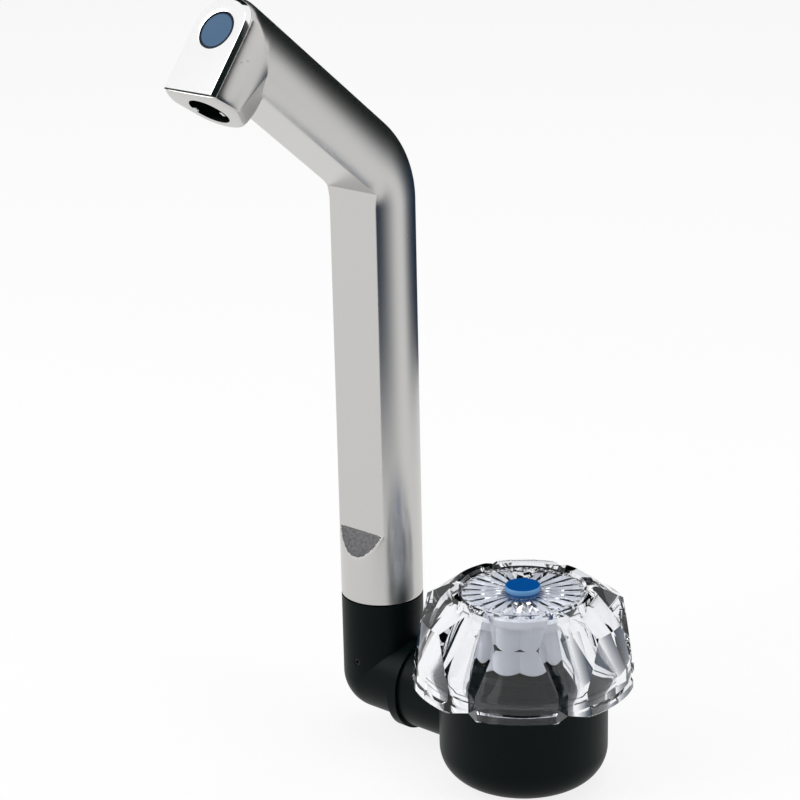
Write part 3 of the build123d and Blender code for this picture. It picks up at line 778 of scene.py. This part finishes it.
    def skin(self) -> None:
        """Makes the spout's outer form, its half-moon facet in a finish of its own."""
        rows = self.skin_rows()
        normals = self.gradient(rows)
        ground = np.array([0.0, 0.0, -1.0])
        inset, share = np.array(self.foot_rounding).T[:, :, None, None]
        foot = slice(len(self.foot_rounding))
        rows[foot] -= inset * normals[foot]
        normals[foot] = normals[foot] * (1 - share) + ground * share
        mouth, mouth_normals = self.mouth(rows[-1])
        bore = np.array([0.0, self.outlet_depth - self.nozzle_drop, -self.outlet_setback])
        shell = Shell()
        index = shell.grid(self.placed(np.concatenate([rows, mouth])))
        shell.cap(index[0], self.placed(np.array([0.0, 0.0, self.foot_z])), last=False)
        shell.cap(index[-1], self.placed(self.at_head(bore)), last=True)
        slopes = np.concatenate([normals.reshape(-1, 3), mouth_normals.reshape(-1, 3),
                                 [ground, [0.0, *-self.above]]])
        slopes /= np.linalg.norm(slopes, axis=-1, keepdims=True)
        piece = shell.build("spout_skin", normals=slopes)
        finished(piece, "spout", ("spout_tube",), "satin_metal", SATIN_METAL, ETCHED_METAL,
                 BLACK_PLASTIC, numbers=self.skin_numbers(piece))

    def skin_numbers(self, piece: Object) -> np.ndarray:
        """Numbers the skin's faces: 1 on the half-moon facet, 2 on the outlet's wall, else 0.

        Args:
            piece: The skin.

        Returns:
            A number for each face.
        """
        x, y, z = (face_rows(piece, "center") / MM).T
        on_facet = np.abs(self.facet(y, z)) < self.facet_band
        on_facet &= (y < -self.flat - self.facet_gap) & (z < self.facet_z)
        on_facet &= z > self.facet_z - self.facet_height
        away = np.stack([y, z], -1) - self.head
        sunk = -(away @ self.above)
        off_axis = np.hypot(x - self.column_x, away @ self.along + self.outlet_setback)
        in_bore = (sunk > 0) & (sunk < self.nozzle_drop - self.outlet_gap)
        in_bore &= off_axis < self.outlet_radius + self.outlet_band
        return on_facet + 2 * in_bore

    def nose_outline(self, inset: float, steps: int = 96) -> np.ndarray:
        """Tombstone outline: straight sides, a square foot and an arched top, moved in by an inset.

        The arch's radius at angle a is ((|cos a| / half)^p + (1 / crown)^p)^(-1/p), which rounds the
        corners between the sides and a wider circle round the head's centre.

        Args:
            inset: How far inside the full outline.
            steps: Points on the arch.

        Returns:
            Points (lateral, upward).
        """
        half = self.plate_half - inset
        crown = self.plate_crown - inset
        foot = -self.nozzle_drop + self.foot_rise + min(inset, self.foot_inset)
        top = np.linspace(0, np.pi, steps)
        power = self.corner_power
        reach = ((np.abs(np.cos(top)) / half) ** power + crown ** -power) ** (-1 / power)
        arch = reach[:, None] * np.stack([np.cos(top), np.sin(top)], -1)
        half = reach[0]
        run = np.linspace(0, 1, 13)[1:-1, None]
        left = np.array([-half, 0.0]) + run * np.array([0.0, foot])
        base = np.array([-half, foot]) + np.linspace(0, 1, 15)[:, None] * np.array([2 * half, 0.0])
        right = np.array([half, foot]) + run * np.array([0.0, -foot])
        return np.concatenate([arch, left, base, right])

    def nose_plate(self) -> None:
        """Makes the polished nose: outlines stacked with a chamfered edge, bored for the dot."""
        cut, thick = self.plate_chamfer, self.plate_thickness
        steps = ((0.3, 0.0), (0.04, 0.0), (0.0, 0.02), (0.02, thick - cut),
                 (0.08, thick - cut + 0.07), (cut - 0.07, thick - 0.08), (cut - 0.01, thick - 0.03),
                 (cut + 0.06, thick - 0.005), (cut + 0.16, thick))
        sides = [np.insert(self.nose_outline(inset), 2, height, 1) for inset, height in steps]
        edge = sides[-1]
        angle = np.arctan2(edge[:, 1] - self.dot_rise, edge[:, 0])
        bore = ((0.12, 0.0), (0.02, -0.02), (0.0, -0.12), (0.0, 0.1 - thick))
        wider, height = np.array(bore).T[:, :, None]
        r = self.dot_hole + wider
        hole = np.stack([r * np.cos(angle), self.dot_rise + r * np.sin(angle),
                         thick + height + 0 * angle], -1)
        face = edge + np.array([0.1, 0.6])[:, None, None] * (hole[0] - edge)
        stack = np.concatenate([np.stack(sides), face, hole]) + [0.0, 0.0, self.nose]
        shell = Shell()
        shell.grid(self.placed(self.at_head(stack)), wrap_rows=True)
        piece = shell.build("nose_face", 40.0)
        piece.modifiers.new("face_normals", "WEIGHTED_NORMAL").keep_sharp = True
        # Faces that look down take black plastic: painted shade of the gap under the plate's edge.
        under = face_rows(piece, "normal")[:, 1:] @ -self.above > self.plate_shade_facing
        finished(piece, "spout", ("nose_plate",), "polished_metal", POLISHED_METAL, BLACK_PLASTIC,
                 numbers=under)

    def dot(self) -> None:
        """Makes the blue dot: a disc with a rounded edge and a slightly hollow face."""
        r, face = self.dot_radius, self.dot_face
        rim = r - self.dot_rim
        profile = ((r - 0.2, 0.0), (r, 0.1), (r, 0.6), (r - 0.03, 0.72), (r - 0.1, 0.76),
                   (rim + 0.02, 0.76), (rim, 0.78), (rim - 0.05, 0.86), (rim - 0.2, 0.88),
                   (rim - 0.9, 0.84), (r / 2, 0.80), (0.4, face))
        seat = np.array([0.0, self.dot_rise, self.nose])
        shell = Shell()
        rows = turned_rows(profile, self.dot_columns) + seat
        index = shell.grid(self.placed(self.at_head(rows)))
        shell.cap(index[0], self.placed(self.at_head(seat)), last=False)
        shell.cap(index[-1], self.placed(self.at_head(seat + [0.0, 0.0, face])), last=True)
        piece = shell.build("blue_dot", 40.0)
        # The dot's side wall and outer rim take dark navy: painted shade of the gap round the dot.
        painted_rim_faces = np.arange(len(piece.data.polygons)) < self.dot_shade_bands * self.dot_columns
        finished(piece, "spout", ("cold_dot",), "blue_dot", BLUE_DOT, DOT_GAP_SHADE, numbers=painted_rim_faces)

    def lugs(self) -> None:
        """Makes two pale pads on the tips of the outlet insert's lugs: painted glints."""
        wide, deep, tall = self.lug_size
        corners = np.array([[-1, -1], [1, -1], [1, 1], [-1, 1]]) * [wide / 2, deep / 2]
        up = np.array([[0.0], [tall]]) - self.nozzle_drop - self.lug_rise
        for side, name in ((-1, "left_lug_glint"), (1, "right_lug_glint")):
            lateral, forward = (corners + [side * self.lug_offset, -self.outlet_setback]).T
            stack = np.stack(np.broadcast_arrays(lateral, up, forward), -1)
            points = self.placed(self.at_head(stack))
            shell = Shell()
            index = shell.grid(points)
            for row, last in ((0, False), (1, True)):
                shell.cap(index[row], points[row].mean(0), last)
            piece = shell.build(name)
            bevelled(piece, self.lug_rounding)
            # The pale pads stand for the light that catches the lug tips: painted glints.
            finished(piece, "spout", (), "black_plastic", LUG_GLINT_PAINT)

    def build(self) -> None:
        """Makes every piece of the spout."""
        self.skin()
        self.nose_plate()
        self.dot()
        self.lugs()


@dataclass
class Knob:
    """Clear lobed knob with its fluted hub and blue cap."""

    top: float = 48.7
    lobes: int = 6
    lobe_turn_deg: float = 35.0
    root_low: float = 22.8
    root_bend_z: float = 31.5
    root_lean: float = 0.40678
    notch_half_deg: float = 56.0
    notch_least_deg: float = 4.0
    groove_limit: float = 0.05
    outline: Pairs = ((25.8, 25.5), (26.3, 26.0), (26.3, 27.7), (25.8, 28.2), (25.5, 31.5),
                      (24.4, 43.3), (16.9, 48.7), (14.9, 48.7), (14.3, 48.1), (5.0, 48.1),
                      (4.05, 48.1))
    outline_step: float = 1.6
    ceiling: float = 46.2
    ceiling_radii: tuple[float, ...] = (4.05, 5.2, 7.5, 10.0, 13.4, 14.6)
    cavity: Pairs = ((14.6, 43.05), (20.5, 29.5), (20.5, 25.5))
    cavity_step: float = 2.4
    rounding: float = 0.14
    half_lobe: int = 8
    notch_face: int = 4
    ray_count: int = 24
    ray_depth: float = 0.8
    ray_rise: float = 0.9
    ray_start: float = 4.6
    ray_radii: tuple[float, ...] = (5.8, 8.5, 11.0, 13.6)
    ray_end: float = 14.2
    ray_fades: tuple[float, float] = (1.2, 0.6)
    hub_radius: float = 12.2
    hub_wall: float = 1.5
    hub_foot: float = 33.35
    foot_wave: float = 0.7
    flutes: int = 12
    flute_columns: int = 16
    flute_depth: float = 0.7
    flange_radius: float = 14.5
    flange_top: float = 45.05
    flange_bottom: float = 43.05
    flange_hole: float = 3.2
    socket_radius: float = 6.1
    socket_bore: float = 4.05
    socket_foot: float = 34.05
    web_top: float = 43.25
    web_bottom: float = 42.05
    web_hole: float = 1.6
    cap_sunk: float = 0.6
    cap_rim: float = 4.2
    cap_face: float = 1.15
    plug_radius: float = 3.0
    plug_depth: float = 2.6
    cap_columns: int = 72

    def notch_half(self, r: np.ndarray, z: np.ndarray) -> np.ndarray:
        """Half angle that a groove takes at a radius and height, in radians.

        The groove's faces leave its root at a fixed angle, so r cos d = root + r sin d / tan(half),
        which gives d = acos(root / (r a)) - f with a and f from 1 / tan(half).

        Args:
            r: Radii of the outline.
            z: Heights of the outline.

        Returns:
            The half angles.
        """
        k = 1 / math.tan(math.radians(self.notch_half_deg))
        share = np.clip(self.root(z) / (r * math.hypot(1, k)), -1, 1)
        return np.maximum(np.arccos(share) - math.atan(k), math.radians(self.notch_least_deg))

    def root(self, z: np.ndarray) -> np.ndarray:
        """Radius of the groove's root: upright below the bend, leaning in above it."""
        return self.root_low - self.root_lean * np.maximum(z - self.root_bend_z, 0.0)

    def lobed_rows(self, profile: np.ndarray) -> np.ndarray:
        """Rows of the lobed outline, with columns that follow the grooves' edges and roots.

        Each radius is the lesser of the profile's and the groove's, root / (cos d - sin d /
        tan(half)) at an angle d from the groove's middle.

        Args:
            profile: Points (radius, height).

        Returns:
            Rows by columns by 3.
        """
        r0, z = profile.T
        pitch = 2 * math.pi / self.lobes
        half = pitch / 2
        d = self.notch_half(r0, z)[:, None]
        lobe = np.linspace(0, 1, self.half_lobe, endpoint=False)[None, :]
        face = np.linspace(0, 1, self.notch_face, endpoint=False)[None, :]
        one = np.concatenate([lobe * (half - d), half - d + face * d, half + face * d,
                              half + d + lobe * (half - d)], 1)
        off = np.abs(one - half)
        k = 1 / math.tan(math.radians(self.notch_half_deg))
        facing = np.maximum(np.cos(off) - k * np.sin(off), self.groove_limit)
        groove = self.root(z)[:, None] / facing
        r = np.tile(np.minimum(r0[:, None], groove), (1, self.lobes))
        angle = np.concatenate([one + step * pitch for step in range(self.lobes)], 1)
        angle += math.radians(self.lobe_turn_deg - 90)
        return np.stack([r * np.cos(angle), r * np.sin(angle), z[:, None] + 0 * angle], -1)

    @staticmethod
    def dense(corners: Pairs, step: float) -> np.ndarray:
        """Points along a profile, closer than a step, its corners kept.

        Args:
            corners: Points (radius, height).
            step: Largest distance.

        Returns:
            The points.
        """
        out = [np.array(corners[0])]
        for a, b in zip(np.array(corners), np.array(corners[1:])):
            pieces = max(1, math.ceil(np.linalg.norm(b - a) / step))
            out.extend(a + (b - a) * k / pieces for k in range(1, pieces + 1))
        return np.array(out)

    def rays(self, r: np.ndarray, angle: np.ndarray, height: float) -> np.ndarray:
        """Sunburst ridges: a triangle wave round the axis that fades in from the middle.

        Args:
            r: Radii.
            angle: Angles.
            height: The ridges' height.

        Returns:
            The rise at each point.
        """
        phase = angle * self.ray_count / (2 * np.pi)
        wave = 1 - 2 * np.abs(phase - np.floor(phase) - 0.5)
        first, last = self.ray_fades
        fade = np.clip((r - self.ray_start) / first, 0, 1)
        return height * wave * fade * np.clip((self.ray_end - r) / last, 0, 1)

    def crystal(self) -> None:
        """Makes the clear knob: lobed outside, turned cavity inside, rays in its ceiling."""
        outside = self.lobed_rows(self.dense(self.outline, self.outline_step))
        count = outside.shape[1]
        angle = np.arange(count) * 2 * np.pi / count + math.radians(self.lobe_turn_deg - 90)
        inner = (*((r, self.ceiling) for r in self.ceiling_radii), *self.cavity)
        r, z = self.dense(inner, self.cavity_step).T[:, :, None]
        rise = self.rays(r, angle, self.ray_depth) * (np.abs(z - self.ceiling) < 0.01)
        cavity = np.stack([r * np.cos(angle), r * np.sin(angle), z + rise], -1)
        shell = Shell()
        shell.grid(np.concatenate([outside, cavity]), wrap_rows=True)
        piece = shell.build("crystal_knob", 25.0)
        bevelled(piece, self.rounding)
        finished(piece, "knob_body", ("knob",), "clear_acrylic", CLEAR_ACRYLIC)

    def hub_profile(self) -> np.ndarray:
        """Profile of the hub, from the screw's hole over the flange, down the skirt and back.

        Returns:
            Points (radius, height, share of the flutes, share of the rays, share of the foot's
            waves).
        """
        top, under, foot = self.flange_top, self.flange_bottom, self.hub_foot
        out, inside = self.hub_radius, self.hub_radius - self.hub_wall
        return np.array([
            (self.flange_hole, self.web_top, 0, 0, 0), (self.flange_hole, top, 0, 0, 0),
            (self.ray_start, top, 0, 0, 0), *((r, top, 0, 1, 0) for r in self.ray_radii),
            (self.flange_radius, top, 0, 0, 0), (self.flange_radius, under, 0, 0, 0),
            (out + 0.3, under, 0, 0, 0),
            (out, under - 0.5, 0.3, 0, 0), (out, under - 2.5, 1, 0, 0), (out, under - 5.0, 1, 0, 0),
            (out, foot + 1.8, 1, 0, 0), (out, foot + 0.2, 1, 0, 1), (out - 0.25, foot, 1, 0, 1),
            (inside, foot, 0, 0, 1), (inside, foot + 2.5, 0, 0, 0), (inside, under, 0, 0, 0),
            (self.socket_radius, under, 0, 0, 0), (self.socket_radius, self.socket_foot, 0, 0, 0),
            (self.socket_bore, self.socket_foot, 0, 0, 0),
            (self.socket_bore, self.web_bottom, 0, 0, 0),
            (self.web_hole, self.web_bottom, 0, 0, 0), (self.web_hole, self.web_top, 0, 0, 0)])

    def hub(self) -> None:
        """Makes the fluted hub: rays on its flange, scalloped skirt with a wavy foot, inner socket.

        With w = 1 - |sin(flutes a / 2)| the radius is r - flute w and the height z + rays + wave w.
        """
        count = self.flutes * self.flute_columns
        turn = np.arange(count) * 2 * np.pi / count
        angle = turn + math.radians(self.lobe_turn_deg)
        wave = 1 - np.abs(np.sin(turn * self.flutes / 2))
        r, z, flute, ray, foot = self.hub_profile().T[:, :, None]
        radius = r - flute * self.flute_depth * wave
        height = z + ray * self.rays(r, angle, self.ray_rise) + foot * self.foot_wave * wave
        shell = Shell()
        shell.grid(np.stack([radius * np.cos(angle), radius * np.sin(angle), height], -1),
                   wrap_rows=True)
        piece = shell.build("fluted_hub", 35.0)
        finished(piece, "knob_body", ("hub_insert",), "frosted_plastic", FROSTED_PLASTIC)

    def cap(self) -> None:
        """Makes the blue cap: a disc with a rounded rim on a plug."""
        plug, rim, face = self.plug_radius, self.cap_rim, self.cap_face
        profile = ((plug - 0.2, -self.plug_depth), (plug, -2.4), (plug, -1.95), (rim - 0.2, -1.93),
                   (rim - 0.1, -1.85), (rim - 0.1, -0.02), (rim - 0.08, 0.0), (rim, 0.08),
                   (rim, 0.9), (rim - 0.06, 1.08), (rim - 0.2, 1.17), (rim - 0.4, 1.2),
                   (2.0, face + 0.01), (0.5, face))
        base = self.top - self.cap_sunk
        shell = Shell()
        index = shell.grid(turned_rows(profile, self.cap_columns) + [0.0, 0.0, base])
        shell.cap(index[0], np.array([0.0, 0.0, base - self.plug_depth]), last=False)
        shell.cap(index[-1], np.array([0.0, 0.0, base + face]), last=True)
        piece = shell.build("blue_cap", 45.0)
        x, y, z = (face_rows(piece, "center") / MM).T
        # The rim's side and rounded top edge take lighter blue: a painted highlight.
        painted_rim_faces = (np.hypot(x, y) > rim - 0.2) & (z > base)
        finished(piece, "knob_body", ("cold_cap",), "blue_cap", BLUE_CAP, CAP_RIM_HIGHLIGHT, numbers=painted_rim_faces)

    def build(self) -> None:
        """Makes every piece of the knob."""
        self.crystal()
        self.hub()
        self.cap()


@dataclass
class Viewpoint:
    """The photograph's camera: a long lens in front of the tap's right side, looking down."""

    position: tuple[float, float, float] = (0.33499, -0.41942, 0.27896)
    azimuth_deg: float = 41.558
    elevation_deg: float = 18.908
    roll_deg: float = -1.290
    lens_mm: float = 112.49
    sensor_mm: float = 36.0
    nearest: float = 0.01

    def place(self) -> None:
        """Makes the camera: back = (sin a cos e, -cos a cos e, sin e), turned about it by the roll."""
        a, e, r = (math.radians(v) for v in (self.azimuth_deg, self.elevation_deg, self.roll_deg))
        back = Vector((math.sin(a) * math.cos(e), -math.cos(a) * math.cos(e), math.sin(e)))
        right = Vector((math.cos(a), math.sin(a), 0.0))
        up = back.cross(right)
        right_rolled = right * math.cos(r) + up * math.sin(r)
        up_rolled = up * math.cos(r) - right * math.sin(r)
        data = bpy.data.cameras.new("photo_camera")
        data.lens = self.lens_mm
        data.sensor_width = self.sensor_mm
        data.clip_start = self.nearest
        camera = linked("photo_camera", data)
        turn = Matrix((right_rolled, up_rolled, back)).transposed().to_4x4()
        camera.matrix_world = Matrix.Translation(Vector(self.position)) @ turn
        bpy.context.scene.camera = camera


@dataclass
class Studio:
    """Pale floor, white surroundings, soft lamps and cards that only reflections see."""

    aim: tuple[float, float, float] = (-0.02, -0.01, 0.09)
    world_light: float = 0.5
    floor_half: float = 3.0
    floor_color: tuple[float, float, float] = (0.93, 0.93, 0.93)
    floor_roughness: float = 0.9
    floor_glow: float = 0.82
    low_color: tuple[float, float, float] = (0.009, 0.028, 0.060)
    high_color: tuple[float, float, float] = (0.006, 0.011, 0.011)
    screen_distance: float = 0.21
    screen_columns: int = 49
    front_low: Pairs = ((22.0, 0.0), (56.0, 0.0), (66.0, 0.07), (80.0, 0.32), (96.0, 0.75),
                        (108.0, 1.0))
    front_high: Pairs = ((22.0, 0.0), (52.0, 0.0), (58.0, 0.05), (66.0, 0.06), (69.0, 1.0))
    back_shades: Pairs = ((126.0, 1.0), (138.0, 0.45), (150.0, 0.12), (165.0, 0.03),
                          (180.0, 0.0), (236.0, 0.0))

    def build(self) -> None:
        """Makes the whole studio."""
        bpy.context.scene.view_settings.view_transform = "Standard"
        self.surroundings()
        self.floor()
        self.lamp("key_lamp", (-0.55, -0.75, 0.75), 0.7, 0.7, 6.0)
        self.lamp("side_lamp", (0.95, 0.10, 0.45), 0.35, 0.7, 2.5, mirrored=False)
        self.lamp("top_lamp", (0.1, 0.2, 1.2), 0.8, 0.8, 4.0, mirrored=False)
        self.screen("front_low_screen", self.front_low, self.low_color, 0.012, 0.17)
        self.screen("front_high_screen", self.front_high, self.high_color, 0.17, 0.5)
        self.screen("back_low_screen", self.back_shades, self.low_color, 0.025, 0.12)
        self.screen("back_high_screen", self.back_shades, self.high_color, 0.12, 0.5)

    @staticmethod
    def seen_rays(tree: NodeTree) -> NodeSocket:
        """Adds up the camera, glossy and transmission flags of a new Light Path node.

        Args:
            tree: The tree to add to.

        Returns:
            A value that is 1 for rays that show the surroundings.
        """
        flags = tree.nodes.new("ShaderNodeLightPath").outputs
        first = worked(tree, "MAXIMUM", flags["Is Camera Ray"], flags["Is Glossy Ray"])
        return worked(tree, "MAXIMUM", first, flags["Is Transmission Ray"])

    def surroundings(self) -> None:
        """Makes a white world for the camera, mirrors and glass, and a grey one for light."""
        world = bpy.context.scene.world = bpy.data.worlds.new("white_room")
        world.use_nodes = True
        tree = world.node_tree
        seen, light = tree.nodes["Background"], tree.nodes.new("ShaderNodeBackground")
        for node, strength in ((seen, 1.0), (light, self.world_light)):
            node.inputs["Color"].default_value = (1.0, 1.0, 1.0, 1.0)
            node.inputs["Strength"].default_value = strength
        mixed(tree, self.seen_rays(tree), light, seen, "World Output")

    def floor(self) -> None:
        """Makes a wide pale floor that keeps the tap's shadow."""
        h = self.floor_half
        mesh = bpy.data.meshes.new("floor")
        mesh.from_pydata([(-h, -h, 0), (h, -h, 0), (h, h, 0), (-h, h, 0)], [], [(0, 1, 2, 3)])
        floor = linked("floor", mesh)
        made = bpy.data.materials.new("pale_floor")
        made.use_nodes = True
        tree = made.node_tree
        shader = tree.nodes["Principled BSDF"]
        shader.inputs["Base Color"].default_value = (*self.floor_color, 1.0)
        shader.inputs["Roughness"].default_value = self.floor_roughness
        glow = tree.nodes.new("ShaderNodeEmission")
        share = worked(tree, "MULTIPLY", self.seen_rays(tree), self.floor_glow)
        mixed(tree, share, shader, glow, "Material Output")
        mesh.materials.append(made)

    def lamp(self, name: str, place: tuple[float, float, float], wide: float, high: float,
             watts: float, mirrored: bool = True) -> None:
        """Adds a soft rectangular lamp, its -Z looking at the tap's middle.

        Args:
            name: Its name.
            place: Its centre.
            wide: Its width.
            high: Its height.
            watts: Its power.
            mirrored: Whether reflections show it.
        """
        data = bpy.data.lights.new(name, "AREA")
        data.shape = "RECTANGLE"
        data.size = wide
        data.size_y = high
        data.energy = watts
        lamp = linked(name, data)
        turn = (Vector(self.aim) - Vector(place)).to_track_quat("-Z", "Y").to_matrix().to_4x4()
        lamp.matrix_world = Matrix.Translation(Vector(place)) @ turn
        lamp.visible_camera = False
        lamp.visible_glossy = mirrored

    def screen(self, name: str, shades: Pairs, dark: tuple[float, float, float], low: float,
               high: float) -> None:
        """Adds an upright screen, bent round the column, that only mirrors and glass show.

        Its points are centre + distance (sin a, -cos a), z, and each azimuth a has a shade between
        the dark colour at 0 and the room's white at 1.

        Args:
            name: Its name.
            shades: Azimuths in degrees from the tap's front towards +X, each with its shade.
            dark: Its colour where the shade is 0.
            low: Its lower edge's height.
            high: Its upper edge's height.
        """
        knots, values = np.array(shades).T
        degrees = np.linspace(knots[0], knots[-1], self.screen_columns)
        share = np.interp(degrees, knots, values)[:, None]
        a = np.radians(degrees)
        z = np.array([low, high])[:, None]
        x, y = COLUMN_X * MM + self.screen_distance * np.sin(a), -self.screen_distance * np.cos(a)
        points = np.stack([x + 0 * z, y + 0 * z, z + 0 * x], -1)
        index = np.arange(2 * len(a)).reshape(2, -1)
        faces = np.stack([index[0, :-1], index[0, 1:], index[1, 1:], index[1, :-1]], -1)
        mesh = bpy.data.meshes.new(name)
        mesh.from_pydata(points.reshape(-1, 3).tolist(), [], faces.tolist())
        color = (1 - share) * np.array(dark) + share
        color = np.concatenate([np.tile(color, (2, 1)), np.ones((2 * len(a), 1))], 1)
        layer = mesh.color_attributes.new("shade", "FLOAT_COLOR", "POINT")
        layer.data.foreach_set("color", color.ravel())
        made = bpy.data.materials.new(name)
        made.use_nodes = True
        made.cycles.emission_sampling = "NONE"
        tree = made.node_tree
        tree.nodes.remove(tree.nodes["Principled BSDF"])
        shade = tree.nodes.new("ShaderNodeAttribute")
        shade.attribute_name = "shade"
        glow = tree.nodes.new("ShaderNodeEmission")
        tree.links.new(shade.outputs["Color"], glow.inputs["Color"])
        tree.links.new(glow.outputs[0], tree.nodes["Material Output"].inputs["Surface"])
        mesh.materials.append(made)
        screen = linked(name, mesh)
        screen.visible_camera = False
        screen.visible_diffuse = False
        screen.visible_shadow = False


def dress_nodes() -> None:
    """Gives every CAD node that still shows its finish."""
    for finish, names in FINISH_NODES.items():
        for name in names:
            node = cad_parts[name]
            if not node.material_slots:
                node.data.materials.append(None)
            for slot in node.material_slots:
                slot.material = finish.material()
            LOG.info("dressed %s in %s", name, finish.name)


def main() -> None:
    """Builds the studio and the tap's looks."""
    Viewpoint().place()
    Studio().build()
    Spout().build()
    Knob().build()
    dress_nodes()


if __name__ == "__main__":
    logging.basicConfig(level=logging.INFO, format="%(name)s: %(message)s")
    main()
